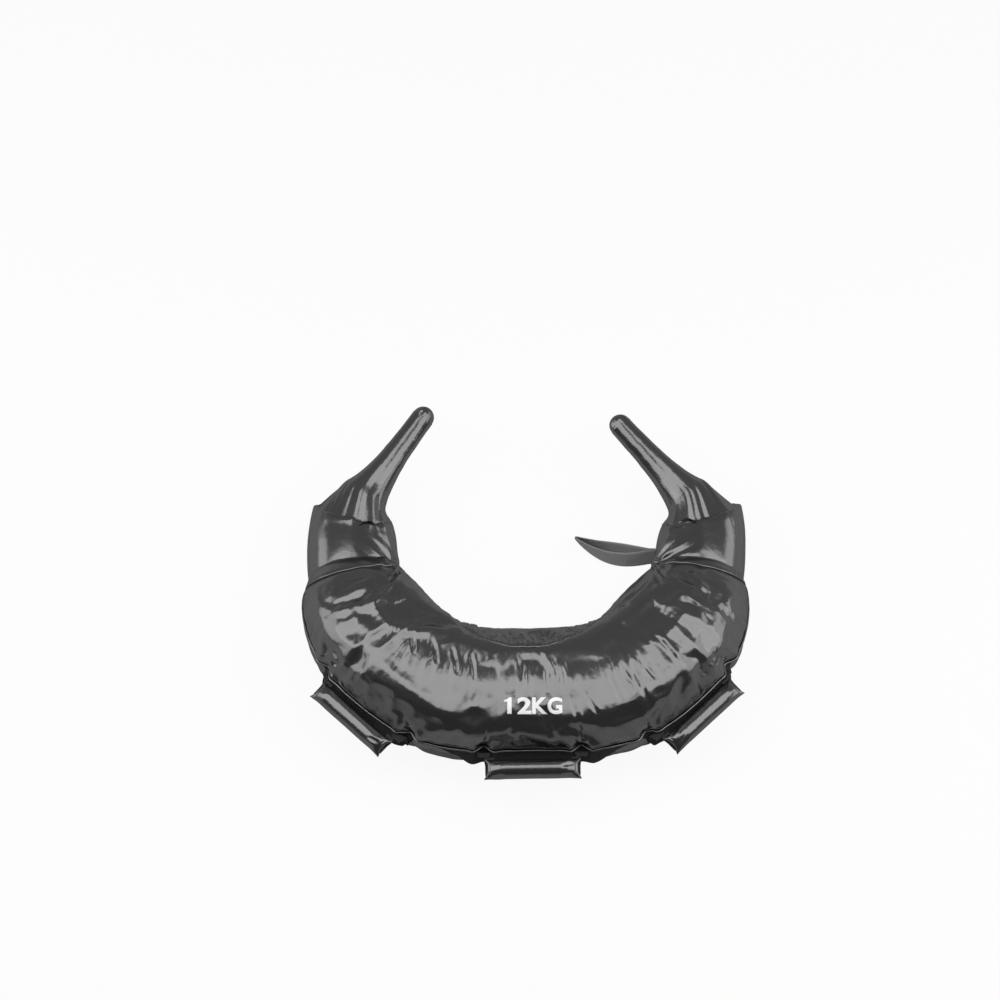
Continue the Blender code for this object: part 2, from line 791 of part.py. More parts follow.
def build():
    clear_scene()
    leather = make_material("black_leather", (0.018, 0.018, 0.019), 0.32)
    edging = make_material("piping_leather", (0.014, 0.014, 0.015), 0.38)
    webbing = make_material("grey_webbing", (0.15, 0.15, 0.15), 0.85)
    dark_webbing = make_material("black_webbing", (0.02, 0.02, 0.02), 0.8)
    sand = make_material("sand_bag", (0.45, 0.38, 0.28), 0.9)
    wadding = make_material("wadding", (0.6, 0.58, 0.55), 0.95)
    foam = make_material("grip_foam", (0.1, 0.1, 0.1), 0.9)

    add_panel("top_panel", "top", leather)
    add_panel("inner_band", "inner", leather)
    add_panel("bottom_panel", "bottom", leather)
    add_panel("outer_gusset", "gusset", leather)
    add_piping("top_piping", GUSSET_TOP, edging)
    add_piping("bottom_piping", GUSSET_BOTTOM, edging)
    add_wadding_sleeve(wadding)
    add_sandbags(sand)
    for side, sign in (("left", -1), ("right", 1)):
        add_cross_seam(side + "_cross_seam", sign, edging)
        add_sleeve(side + "_end_sleeve", sign, leather)
        add_end_wadding(side + "_end_wadding", sign, wadding)
        add_horn(side, leather, wadding)
        add_wrist_loop(side, webbing)
        add_loop_tail(side, webbing)
    frames = {}
    for side in GRIP_PLACE_SHARES:
        frames[side] = add_grip(side, leather, foam, dark_webbing)

    bpy.context.view_layer.update()
    shift, size = settle_on_origin()
    say("size", size)
    for side in ("left", "right"):
        centre, along, _, _ = horn_frame(side)
        say(side + " horn pivot", centre + shift)
        say(side + " horn axis", unit(np.cross(np.array([0.0, 1.0, 0.0]), along)))
        say(side + " loop pivot", loop_frame(side)[0] + shift)
        say(side + " loop axis", loop_edge(side, 0))
    for side, frame in frames.items():
        say(side + " grip pivot", frame[2] + shift)
        say(side + " grip axis", frame[3])
    say("underside middle", np.array([0.0, -ARC_DEPTH, 0.0]) + shift)


build()
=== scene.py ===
import json
import math

import bmesh
import bpy
import numpy as np
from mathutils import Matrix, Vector
from mathutils.bvhtree import BVHTree


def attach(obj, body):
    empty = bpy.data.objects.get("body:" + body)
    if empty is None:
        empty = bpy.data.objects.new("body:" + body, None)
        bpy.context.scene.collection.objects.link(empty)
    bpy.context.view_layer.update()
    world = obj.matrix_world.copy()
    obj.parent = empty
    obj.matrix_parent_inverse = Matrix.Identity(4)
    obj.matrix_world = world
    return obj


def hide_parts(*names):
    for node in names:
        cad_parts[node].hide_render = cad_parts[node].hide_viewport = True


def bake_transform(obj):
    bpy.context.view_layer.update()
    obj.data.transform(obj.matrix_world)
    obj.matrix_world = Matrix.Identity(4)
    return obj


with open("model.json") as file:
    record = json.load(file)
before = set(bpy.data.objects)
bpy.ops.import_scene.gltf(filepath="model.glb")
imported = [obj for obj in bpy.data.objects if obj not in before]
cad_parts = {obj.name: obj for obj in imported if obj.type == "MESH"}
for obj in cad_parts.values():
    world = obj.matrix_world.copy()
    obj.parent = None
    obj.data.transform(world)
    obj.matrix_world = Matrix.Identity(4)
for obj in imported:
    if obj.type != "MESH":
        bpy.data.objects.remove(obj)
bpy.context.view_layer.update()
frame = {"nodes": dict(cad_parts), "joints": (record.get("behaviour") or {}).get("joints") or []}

# A filled leather training bag that lies flat: x runs across, the grips face -y, the horns point to +y.
# Places are metres, angles are degrees.


# Small helpers

def hexToLinear(code):
    parts = [int(code[i:i + 2], 16) / 255 for i in (1, 3, 5)]
    return tuple(c / 12.92 if c <= 0.04045 else ((c + 0.055) / 1.055) ** 2.4 for c in parts) + (1.0,)


def addNode(tree, kind, settings=None, links=None):
    node = tree.nodes.new(kind)
    for key, value in (settings or {}).items():
        if isinstance(key, int) or key in node.inputs:
            node.inputs[key].default_value = value
        else:
            setattr(node, key, value)
    for key, source in (links or {}).items():
        tree.links.new(source, node.inputs[key])
    return node


def newMaterial(name, shaderSettings):
    material = bpy.data.materials.new(name)
    material.use_nodes = True
    tree = material.node_tree
    shader = tree.nodes["Principled BSDF"]
    for key, value in shaderSettings.items():
        shader.inputs[key].default_value = value
    return material, tree, shader


def smoothStep(t):
    t = np.clip(t, 0.0, 1.0)
    return t * t * (3 - 2 * t)


def unitRows(v):
    return v / np.maximum(np.linalg.norm(v, axis=-1, keepdims=True), 1e-12)


waveTable = 997             # lengths of the random tables, primes so that no pattern repeats
cloudTable = (97, 89)


def wavy(x, spacing, seed):
    # soft random waves from -1 to 1, one bend per spacing
    table = np.random.default_rng(seed).uniform(-1, 1, waveTable)
    cell = np.floor(x / spacing)
    f = smoothStep(x / spacing - cell)
    k = cell.astype(int)
    return table[k % waveTable] * (1 - f) + table[(k + 1) % waveTable] * f


def cloudy(x, y, spacingX, spacingY, seed):
    # the same in two directions
    columns, rows = cloudTable
    table = np.random.default_rng(seed).uniform(-1, 1, cloudTable)
    cx = np.floor(x / spacingX)
    cy = np.floor(y / spacingY)
    fx = smoothStep(x / spacingX - cx)
    fy = smoothStep(y / spacingY - cy)
    i = cx.astype(int) % columns
    j = cy.astype(int) % rows
    nextI = (i + 1) % columns
    nextJ = (j + 1) % rows
    low = table[i, j] * (1 - fx) + table[nextI, j] * fx
    high = table[i, nextJ] * (1 - fx) + table[nextI, nextJ] * fx
    return low * (1 - fy) + high * fy


def addPiece(name, vertices, faces, material):
    mesh = bpy.data.meshes.new(name)
    mesh.from_pydata(np.asarray(vertices, float).reshape(-1, 3).tolist(), [], faces)
    mesh.validate()
    mesh.shade_smooth()
    if material:
        mesh.materials.append(material)
    piece = bpy.data.objects.new(name, mesh)
    bpy.context.collection.objects.link(piece)
    return piece


def faceOutward(piece):
    work = bmesh.new()
    work.from_mesh(piece.data)
    bmesh.ops.recalc_face_normals(work, faces=work.faces)
    work.to_mesh(piece.data)
    work.free()


def gridFaces(rows, columns, closeRows=False, closeColumns=False):
    faces = []
    for j in range(rows if closeRows else rows - 1):
        a = j * columns
        b = ((j + 1) % rows) * columns
        for i in range(columns if closeColumns else columns - 1):
            k = (i + 1) % columns
            faces.append((a + i, a + k, b + k, b + i))
    return faces


def addSheetPiece(name, points, material, thickness):
    # a sewn panel from a grid of points, closed into a wall of real thickness
    rows, columns = points.shape[:2]
    piece = addPiece(name, points, gridFaces(rows, columns), material)
    faceOutward(piece)
    wall = piece.modifiers.new("wall", "SOLIDIFY")
    wall.thickness = thickness
    wall.offset = -1
    wall.use_even_offset = False
    return piece


def tubeRows(points, normals, radius, sides, closed=False):
    # rings round a path, the first axis of each ring along the normal
    points = np.asarray(points, float)
    normals = unitRows(np.asarray(normals, float))
    if closed:
        along = np.roll(points, -1, 0) - np.roll(points, 1, 0)
    else:
        along = np.gradient(points, axis=0)
    along = unitRows(along)
    side = unitRows(np.cross(along, normals))
    rise = np.cross(side, along)
    turn = np.linspace(0, 2 * np.pi, sides, endpoint=False)
    radius = np.broadcast_to(radius, (len(points),))[:, None, None]
    return (points[:, None] + radius * np.cos(turn)[None, :, None] * rise[:, None]
            + radius * np.sin(turn)[None, :, None] * side[:, None])


def addTube(name, rings, material, closed=False):
    rows, columns = rings.shape[:2]
    faces = gridFaces(rows, columns, closed, True)
    if not closed:
        faces.append(tuple(range(columns))[::-1])
        faces.append(tuple((rows - 1) * columns + i for i in range(columns)))
    piece = addPiece(name, rings, faces, material)
    faceOutward(piece)
    return piece


threadPlan = {"sides": 6, "sunk": 0.45, "dive": 0.9, "tip": 0.12}     # after the sides, shares of its radius


def addThreads(name, strokes, body, material, radius):
    # short lengths of thread on a surface, sunk in at both ends; a stroke is its places and the way out
    plan = threadPlan
    sides = plan["sides"]
    vertices = []
    faces = []
    for places, normals in strokes:
        count = len(places)
        ends = (2 * np.linspace(0, 1, count) - 1) ** 4
        thin = radius * np.sqrt(np.maximum(1 - ends, plan["tip"]))
        lift = radius * plan["sunk"] - radius * plan["dive"] * ends[:, None]
        start = len(vertices) * sides
        vertices += list(tubeRows(places + normals * lift, normals, thin, sides))
        faces += [tuple(start + i for i in face) for face in gridFaces(count, sides, False, True)]
        faces.append(tuple(start + i for i in range(sides))[::-1])
        faces.append(tuple(start + (count - 1) * sides + i for i in range(sides)))
    piece = addPiece(name, np.array(vertices), faces, material)
    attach(piece, body)
    return piece


# Cloth

clothPlan = {
    "frames": 20, "pressure": 4.0, "quality": 6, "mass": 0.3, "stretch": 15.0, "shear": 5.0, "bending": 0.05,
}


def inflate(name, points, pinned, slack):
    # blows up a grid of points as cloth that is a share of slack too large and held where it is pinned
    plan = clothPlan
    rows, columns = points.shape[:2]
    piece = addPiece(name, points, gridFaces(rows, columns, False, True), None)
    bpy.context.view_layer.objects.active = piece
    held = piece.vertex_groups.new(name="held")
    held.add([int(i) for i in np.flatnonzero(pinned.ravel())], 1.0, "REPLACE")
    cloth = piece.modifiers.new("cloth", "CLOTH")
    settings = cloth.settings
    settings.quality = plan["quality"]
    settings.mass = plan["mass"]
    settings.tension_stiffness = plan["stretch"]
    settings.compression_stiffness = plan["stretch"]
    settings.shear_stiffness = plan["shear"]
    settings.bending_stiffness = plan["bending"]
    settings.vertex_group_mass = "held"
    settings.use_pressure = True
    settings.uniform_pressure_force = plan["pressure"]
    settings.shrink_min = -slack
    settings.effector_weights.gravity = 0
    cloth.collision_settings.use_collision = False
    cloth.collision_settings.use_self_collision = False
    cloth.point_cache.frame_start = 1
    cloth.point_cache.frame_end = plan["frames"]
    scene = bpy.context.scene
    for step in range(1, plan["frames"] + 1):
        scene.frame_set(step)
    made = piece.evaluated_get(bpy.context.evaluated_depsgraph_get()).to_mesh()
    places = np.empty(len(made.vertices) * 3)
    made.vertices.foreach_get("co", places)
    mesh = piece.data
    bpy.data.objects.remove(piece)
    bpy.data.meshes.remove(mesh)
    scene.frame_set(1)
    return places.reshape(points.shape)


# Floor, world and lamps

studio = {
    "floorSize": 14.0,
    "floorGap": 0.0002,
    "floorColour": "#a4a4a4",
    "ownWhite": 0.86,        # share of the floor that the camera sees as clean white, whatever the lamps do
    "mirrorWhite": 0.10,     # the same for gloss: more of it would light the bag's dark lower side
    "whiteLevel": 1.08,
    "front": 0.095,          # the room is darker behind the camera than beyond the bag
    "rear": 0.26,
    "frontTo": -0.5,         # the directions between which the one turns into the other
    "rearFrom": 0.4,
    # each softbox: middle, width, depth, strength per square metre and steradian, turn about y (0 faces down)
    "boxes": [
        ((0.08, -0.180, 1.30), 0.66, 0.56, 2.1, 0),         # the middle one fades out towards the front
        ((0.08, -0.515, 1.30), 0.66, 0.11, 1.2, 0),
        ((0.08, -0.635, 1.30), 0.66, 0.13, 0.5, 0),
        ((-1.40, -0.02, 1.30), 2.30, 1.26, 2.1, 0),
        ((1.48, -0.15, 1.30), 2.14, 1.50, 2.1, 0),
        ((-3.10, 0.60, 0.95), 1.50, 2.60, 1.6, -90),
        ((3.10, 0.70, 0.95), 1.50, 3.20, 1.5, 90),
    ],
    "hornBox": ((0.02, 0.80, 1.30), 0.96, 0.90, 2.0),       # lights the horns' leather alone
}


def addSoftbox(name, place, width, depth, strength, turn=0):
    lamp = bpy.data.lights.new(name, "AREA")
    lamp.shape = "RECTANGLE"
    lamp.size = width
    lamp.size_y = depth
    lamp.energy = strength * math.pi * width * depth
    item = bpy.data.objects.new(name, lamp)
    item.location = place
    item.rotation_euler = (0, math.radians(turn), 0)
    bpy.context.collection.objects.link(item)
    return item


def lightHorns(pieces):
    # the horns stand further back than the rest, so a softbox behind them gives their leather its gleam
    lamp = addSoftbox("hornSoftbox", *studio["hornBox"])
    lit = bpy.data.collections.new("hornLeather")
    for piece in pieces:
        lit.objects.link(piece)
    lamp.light_linking.receiver_collection = lit


def buildFloor():
    bpy.ops.mesh.primitive_plane_add(size=studio["floorSize"], location=(0, 0, -studio["floorGap"]))
    floor = bpy.context.object
    floor.name = "studioFloor"
    # matt white board: no sheen, only a soft shadow
    material = bpy.data.materials.new("paintedWhiteFloor")
    material.use_nodes = True
    tree = material.node_tree
    tree.nodes.clear()
    path = addNode(tree, "ShaderNodeLightPath")
    mirrored = addNode(tree, "ShaderNodeMath", {"operation": "MAXIMUM"},
                       {0: path.outputs["Is Glossy Ray"], 1: path.outputs["Is Transmission Ray"]})
    mirrored = addNode(tree, "ShaderNodeMath", {"operation": "MULTIPLY", 1: studio["mirrorWhite"]},
                       {0: mirrored.outputs[0]})
    share = addNode(tree, "ShaderNodeMath", {"operation": "MULTIPLY_ADD", 1: studio["ownWhite"]},
                    {0: path.outputs["Is Camera Ray"], 2: mirrored.outputs[0]})
    paint = addNode(tree, "ShaderNodeBsdfDiffuse", {"Color": hexToLinear(studio["floorColour"])})
    glow = addNode(tree, "ShaderNodeEmission",
                   {"Color": hexToLinear("#ffffff"), "Strength": studio["whiteLevel"]})
    mix = addNode(tree, "ShaderNodeMixShader", {},
                  {0: share.outputs[0], 1: paint.outputs[0], 2: glow.outputs[0]})
    addNode(tree, "ShaderNodeOutputMaterial", {}, {"Surface": mix.outputs[0]})
    floor.data.materials.append(material)


def buildRoom():
    world = bpy.data.worlds.new("softStudio")
    bpy.context.scene.world = world
    world.use_nodes = True
    tree = world.node_tree
    tree.nodes.clear()
    place = addNode(tree, "ShaderNodeTexCoord")
    split = addNode(tree, "ShaderNodeSeparateXYZ", {}, {0: place.outputs["Generated"]})
    rise = addNode(tree, "ShaderNodeMapRange",
                   {"interpolation_type": "SMOOTHSTEP", "From Min": studio["frontTo"],
                    "From Max": studio["rearFrom"],
                    "To Min": studio["front"], "To Max": studio["rear"]}, {"Value": split.outputs["Y"]})
    light = addNode(tree, "ShaderNodeBackground", {"Color": hexToLinear("#ffffff")},
                    {"Strength": rise.outputs[0]})
    addNode(tree, "ShaderNodeOutputWorld", {}, {"Surface": light.outputs[0]})


def buildStudio():
    buildFloor()
    buildRoom()
    for k, box in enumerate(studio["boxes"]):
        addSoftbox("softbox%d" % k, *box)
    bpy.context.scene.view_settings.view_transform = "Standard"
    print("studio ready")


# a long lens from far off; at the aim point the picture is metresAcross wide
cameraPlan = {
    "aim": (-0.0345, 0.17991, 0.0), "elevation": 62.0, "distance": 60.0, "metresAcross": 1.326,
    "sensor": 36.0,
}


def buildCamera():
    rise = math.radians(cameraPlan["elevation"])
    back = Vector((0, -math.cos(rise), math.sin(rise)))
    data = bpy.data.cameras.new("photoCamera")
    data.sensor_width = cameraPlan["sensor"]
    data.lens = cameraPlan["sensor"] * cameraPlan["distance"] / cameraPlan["metresAcross"]
    data.clip_end = 200
    item = bpy.data.objects.new("photoCamera", data)
    item.location = Vector(cameraPlan["aim"]) + back * cameraPlan["distance"]
    item.rotation_mode = "QUATERNION"
    item.rotation_quaternion = (-back).to_track_quat("-Z", "Y")
    bpy.context.collection.objects.link(item)
    bpy.context.scene.camera = item
    print("camera ready")


buildStudio()
buildCamera()


# Materials

leatherPlan = {
    "colour": "#121213", "worn": "#1a1a1b", "roughness": 0.38, "ior": 1.5, "level": 0.3,
    "film": 1.0, "filmEdge": 0.12, "filmRoughness": 0.15,
    "filmIor": 2.05,                        # above a real lacquer's 1.5, matched to the gleam of the real bag
    "filmFades": (0.42, 0.86),              # the slopes between which the film thins to filmEdge
    "grain": 0.0013, "grainDepth": 0.00005,  # drawn coarser than the real 0.5 mm or so, which would not show
    "soft": 0.011, "softDepth": 0.00030,    # the unevenness of the padding under it
    "cloud": 0.035, "scuff": 0.006,         # size of the patches of colour and of the scuffs
}


def buildLeather(name, plan):
    # PU-coated leather, pressed and polished: a smooth film over a fine grain shows softboxes as pale bands
    material, tree, shader = newMaterial(name, {
        "Roughness": plan["roughness"], "IOR": plan["ior"], "Metallic": 0.0,
        "Specular IOR Level": plan["level"],
        "Coat Weight": plan["film"], "Coat Roughness": plan["filmRoughness"], "Coat IOR": plan["filmIor"]})
    place = addNode(tree, "ShaderNodeTexCoord").outputs["Object"]
    cloud = addNode(tree, "ShaderNodeTexNoise",
                    {"Scale": 1 / plan["cloud"], "Detail": 4.0, "Roughness": 0.55},
                    {"Vector": place})
    scuff = addNode(tree, "ShaderNodeTexNoise",
                    {"Scale": 1 / plan["scuff"], "Detail": 6.0, "Roughness": 0.7, "Distortion": 0.6},
                    {"Vector": place})
    tint = addNode(tree, "ShaderNodeMapRange",
                   {"From Min": 0.35, "From Max": 0.75, "To Min": 0.0, "To Max": 0.5},
                   {"Value": cloud.outputs[0]})
    colour = addNode(tree, "ShaderNodeMix",
                     {"data_type": "RGBA", 6: hexToLinear(plan["colour"]), 7: hexToLinear(plan["worn"])},
                     {0: tint.outputs[0]})
    gloss = addNode(tree, "ShaderNodeMapRange",
                    {"From Min": 0.3, "From Max": 0.8, "To Min": plan["roughness"] - 0.05,
                     "To Max": plan["roughness"] + 0.10}, {"Value": scuff.outputs[0]})
    grain = addNode(tree, "ShaderNodeTexVoronoi",
                    {"feature": "SMOOTH_F1", "Scale": 1 / plan["grain"], "Smoothness": 0.6,
                     "Randomness": 0.9},
                    {"Vector": place})
    soft = addNode(tree, "ShaderNodeTexNoise", {"Scale": 1 / plan["soft"], "Detail": 2.0, "Roughness": 0.5},
                   {"Vector": place})
    low = addNode(tree, "ShaderNodeBump", {"Strength": 1.0, "Distance": plan["softDepth"]},
                  {"Height": soft.outputs[0]})
    fine = addNode(tree, "ShaderNodeBump", {"Strength": 1.0, "Distance": plan["grainDepth"]},
                   {"Height": grain.outputs["Distance"], "Normal": low.outputs[0]})
    # the film thins to a matt bloom where it is seen edge on
    slope = addNode(tree, "ShaderNodeLayerWeight", {"Blend": 0.5})
    clear, bloom = plan["filmFades"]
    film = addNode(tree, "ShaderNodeMapRange",
                   {"interpolation_type": "SMOOTHSTEP", "From Min": clear, "From Max": bloom,
                    "To Min": plan["film"], "To Max": plan["filmEdge"]}, {"Value": slope.outputs["Facing"]})
    tree.links.new(film.outputs[0], shader.inputs["Coat Weight"])
    tree.links.new(colour.outputs[2], shader.inputs["Base Color"])
    tree.links.new(gloss.outputs[0], shader.inputs["Roughness"])
    tree.links.new(fine.outputs[0], shader.inputs["Normal"])
    tree.links.new(fine.outputs[0], shader.inputs["Coat Normal"])
    return material


# metres per thread across the webbing and per row along it, both a little coarser than real
webbingPlan = {"thread": 0.0014, "row": 0.0018, "depth": 0.0004, "fuzz": 0.0012}


def buildWebbing(name, dark, pale, roughness, sheen, plan, ownPlaces=True):
    # woven nylon webbing: matt rows of twisted thread; the colour is paler on the crowns and dark between them,
    # painted shade in the weave's hollows
    material, tree, shader = newMaterial(name, {
        "Roughness": roughness, "IOR": 1.53, "Metallic": 0.0, "Sheen Weight": sheen, "Sheen Roughness": 0.4})
    if ownPlaces:
        place = addNode(tree, "ShaderNodeAttribute", {"attribute_name": "cloth"}).outputs["Vector"]
    else:
        place = addNode(tree, "ShaderNodeTexCoord").outputs["Object"]
    split = addNode(tree, "ShaderNodeSeparateXYZ", {}, {0: place})
    along = addNode(tree, "ShaderNodeMath", {"operation": "MULTIPLY", 1: math.pi / plan["row"]},
                    {0: split.outputs["X"]})
    across = addNode(tree, "ShaderNodeMath", {"operation": "MULTIPLY", 1: math.pi / plan["thread"]},
                     {0: split.outputs["Y" if ownPlaces else "Z"]})
    sineA = addNode(tree, "ShaderNodeMath", {"operation": "SINE"}, {0: along.outputs[0]})
    sineB = addNode(tree, "ShaderNodeMath", {"operation": "SINE"}, {0: across.outputs[0]})
    both = addNode(tree, "ShaderNodeMath", {"operation": "MULTIPLY"},
                   {0: sineA.outputs[0], 1: sineB.outputs[0]})
    rib = addNode(tree, "ShaderNodeMath", {"operation": "ABSOLUTE"}, {0: sineB.outputs[0]})
    weave = addNode(tree, "ShaderNodeMath", {"operation": "MULTIPLY_ADD", 1: 0.5},
                    {0: both.outputs[0], 2: rib.outputs[0]})
    fuzz = addNode(tree, "ShaderNodeTexNoise", {"Scale": 1 / plan["fuzz"], "Detail": 3.0}, {"Vector": place})
    height = addNode(tree, "ShaderNodeMath", {"operation": "MULTIPLY_ADD", 1: 0.5},
                     {0: fuzz.outputs[0], 2: weave.outputs[0]})
    # painted shade: the colour darkens where the weave sinks and pales where it rises
    shade = addNode(tree, "ShaderNodeMapRange",
                    {"From Min": -0.2, "From Max": 1.5, "To Min": 0.0, "To Max": 1.0},
                    {"Value": height.outputs[0]})
    colour = addNode(tree, "ShaderNodeMix", {"data_type": "RGBA", 6: hexToLinear(dark), 7: hexToLinear(pale)},
                     {0: shade.outputs[0]})
    bump = addNode(tree, "ShaderNodeBump", {"Strength": 0.8, "Distance": plan["depth"]},
                   {"Height": height.outputs[0]})
    tree.links.new(colour.outputs[2], shader.inputs["Base Color"])
    tree.links.new(bump.outputs[0], shader.inputs["Normal"])
    return material


def buildSpeckled(name, shaderSettings, noiseSettings, dark, pale, strength, depth):
    # a plain surface whose colour and relief follow the same noise
    material, tree, shader = newMaterial(name, {"Metallic": 0.0, **shaderSettings})
    place = addNode(tree, "ShaderNodeTexCoord").outputs["Object"]
    noise = addNode(tree, "ShaderNodeTexNoise", noiseSettings, {"Vector": place})
    colour = addNode(tree, "ShaderNodeMix", {"data_type": "RGBA", 6: hexToLinear(dark), 7: hexToLinear(pale)},
                     {0: noise.outputs[0]})
    bump = addNode(tree, "ShaderNodeBump", {"Strength": strength, "Distance": depth},
                   {"Height": noise.outputs[0]})
    tree.links.new(colour.outputs[2], shader.inputs["Base Color"])
    tree.links.new(bump.outputs[0], shader.inputs["Normal"])
    return material


def buildPlainCloth(name, dark, pale, roughness, grain, depth):
    # for fillings: a soft fibrous surface with no shine
    return buildSpeckled(name, {"Roughness": roughness, "IOR": 1.5},
                         {"Scale": 1 / grain, "Detail": 5.0, "Roughness": 0.65}, dark, pale, 0.8, depth)


def buildThread(name, dark, pale):
    # bonded nylon sewing thread: a hard round twist with a low gleam
    return buildSpeckled(name, {"Roughness": 0.42, "IOR": 1.53}, {"Scale": 1 / 0.0007, "Detail": 2.0},
                         dark, pale, 0.5, 0.0001)


polishedLeather = buildLeather("polishedPuLeather", leatherPlan)
# the same leather rolled round a cord: its stretched grain is finer and a little duller
edgeLeather = buildLeather("rolledPuEdging", {**leatherPlan, "colour": "#141414", "worn": "#1c1c1c",
                                              "roughness": 0.40, "grain": 0.001})
greyWebbing = buildWebbing("wovenGreyNylon", "#5f5f60", "#9f9fa0", 0.72, 0.2, webbingPlan)
greyTail = buildWebbing("wovenGreyNylonTail", "#5f5f60", "#9f9fa0", 0.72, 0.2, webbingPlan, False)
# near black: the grips' straps and anchors, kept this dark as painted shade so they sink into the gap, and the
# sheets of painted shade behind the grips
blackWebbingAndShade = buildWebbing("wovenBlackNylonAndShade", "#070707", "#161616", 0.72, 0.0, webbingPlan, False)
# close tan canvas, loose off-white fibre and dull black rubber, all seen only when the bag is opened
sandCanvas = buildPlainCloth("proofedSandCanvas", "#8f7f66", "#c2b391", 0.9, 0.0012, 0.0003)
fibreWadding = buildPlainCloth("polyesterWadding", "#b9b6ae", "#e6e3dc", 0.95, 0.004, 0.0015)
rubberFoam = buildPlainCloth("closedCellFoam", "#2b2b2b", "#3c3c3c", 0.88, 0.0015, 0.0004)
seamThread = buildThread("bondedBlackThread", "#1b1b1c", "#343435")
paleThread = buildThread("bondedGreyThread", "#6f6f70", "#a2a2a3")
# screen-printing ink: a thin matt white film, crisp at its edges
printInk = newMaterial("screenPrintInk", {"Base Color": hexToLinear("#f3f3f3"), "Roughness": 0.5,
                                          "IOR": 1.5})[0]
print("materials ready")


# Plan and section of the filled tube

bagPlan = {
    # the crescent's middle line, a superellipse, and where its cross seams and its necks lie
    "halfSpan": 0.2316, "depth": 0.2760, "exponent": 2.56, "crossFront": 0.081, "neckBack": 0.009,
    "back": 0.12283,
    # the tube's section, and how it settles on the floor
    "middleHalfWidth": 0.0915, "endHalfWidth": 0.0605, "fall": 3.3, "heightShare": 0.85, "sink": 0.09,
    "settle": 0.0016,
    # the necks; the pairs are left and right
    "neckRadius": 0.052, "neckHeight": 0.056, "neckFall": 3.0, "neckTilt": 33.0, "neckYaw": (18.0, 21.5),
    "neckSquare": 0.45, "neckLean": (0.003, 0.0),
    # where the seams run, in degrees round the section
    "topSeam": 5.0, "bottomSeam": -50.0, "innerLow": 205.0, "innerRest": 180.0, "innerDip": 68.0,
    "innerReach": 0.150,
    # how far the cross seams lie nearer the middle, and how much further over the top
    "seamBack": (0.013, 0.007), "seamLean": (0.011, 0.009),
    # each grip: its place as a share of the way to a cross seam, its draw on the tube and the reach of that
    "grips": {"left": (-0.507, 0.0035, 0.060), "centre": (0.0195, 0.0088, 0.115),
              "right": (0.518, 0.0035, 0.060)},
    "gripSpan": 0.129,
}

# how y and z count up the plane that faces the photo's camera, and its zero in mm
photoPlane = {"y": 0.88295, "z": 0.46947, "zero": 112.95}


def planCurve():
    t = np.linspace(0, math.pi / 2, 4000)
    x = bagPlan["halfSpan"] * np.sin(t) ** (2 / bagPlan["exponent"])
    y = -bagPlan["depth"] * np.cos(t) ** (2 / bagPlan["exponent"])
    x = np.append(x, bagPlan["halfSpan"])
    y = np.append(y, bagPlan["neckBack"])
    run = np.concatenate([[0], np.cumsum(np.hypot(np.diff(x), np.diff(y)))])
    s = np.linspace(0, run[-1], int(round(run[-1] / 0.001)))
    x = np.interp(s, run, x)
    y = np.interp(s, run, y)
    tx = np.gradient(x, s)
    ty = np.gradient(y, s)
    size = np.hypot(tx, ty)
    return s, x, y, ty / size, -tx / size


planS, planX, planY, planNx, planNy = planCurve()
neckS = planS[-1]
crossS = float(np.interp(-bagPlan["crossFront"], planY, planS))


def ease(t):
    return (1 - np.cos(np.pi * t)) / 2


def axisAt(s):
    side = np.where(s < 0, -1.0, 1.0)
    run = np.abs(s)
    x, y, nx, ny = (np.interp(run, planS, row) for row in (planX, planY, planNx, planNy))
    return side * x, y, side * nx, ny


def seamPlace(s, theta):
    # where the cross seam runs: a little nearer the middle, and more so over the top
    over = np.maximum(np.sin(np.radians(theta)), 0)
    left, right = (back + lean * over for back, lean in zip(bagPlan["seamBack"], bagPlan["seamLean"]))
    return crossS - np.where(s < 0, left, right)


def sleeveShare(s):
    return np.clip((np.abs(s) - crossS) / (neckS - crossS), 0, 1)


def halfWidth(s):
    fall = np.cos(np.pi / 2 * np.minimum(np.abs(s) / crossS, 1) ** bagPlan["fall"])
    body = bagPlan["endHalfWidth"] + (bagPlan["middleHalfWidth"] - bagPlan["endHalfWidth"]) * fall
    return body + (bagPlan["neckRadius"] - bagPlan["endHalfWidth"]) * sleeveShare(s) ** bagPlan["neckFall"]


def outerDraw(s):
    total = 0.0
    for share, draw, reach in bagPlan["grips"].values():
        total = total + draw * np.cos(np.pi / 2 * np.minimum(np.abs(s - share * crossS) / reach, 1)) ** 2
    return total


def halfHeight(s):
    body = bagPlan["heightShare"] * halfWidth(s)
    start = bagPlan["heightShare"] * bagPlan["endHalfWidth"]
    sleeve = start + (bagPlan["neckRadius"] - start) * ease(sleeveShare(s))
    return np.where(np.abs(s) <= crossS, body, sleeve)


def centreHeight(s):
    start = bagPlan["heightShare"] * bagPlan["endHalfWidth"] * (1 - bagPlan["sink"])
    sleeve = start + (bagPlan["neckHeight"] - start) * ease(sleeveShare(s))
    return np.where(np.abs(s) <= crossS, halfHeight(s) * (1 - bagPlan["sink"]), sleeve)


def innerSeam(s):
    return bagPlan["innerRest"] - bagPlan["innerDip"] * np.exp(-(s / bagPlan["innerReach"]) ** 2)


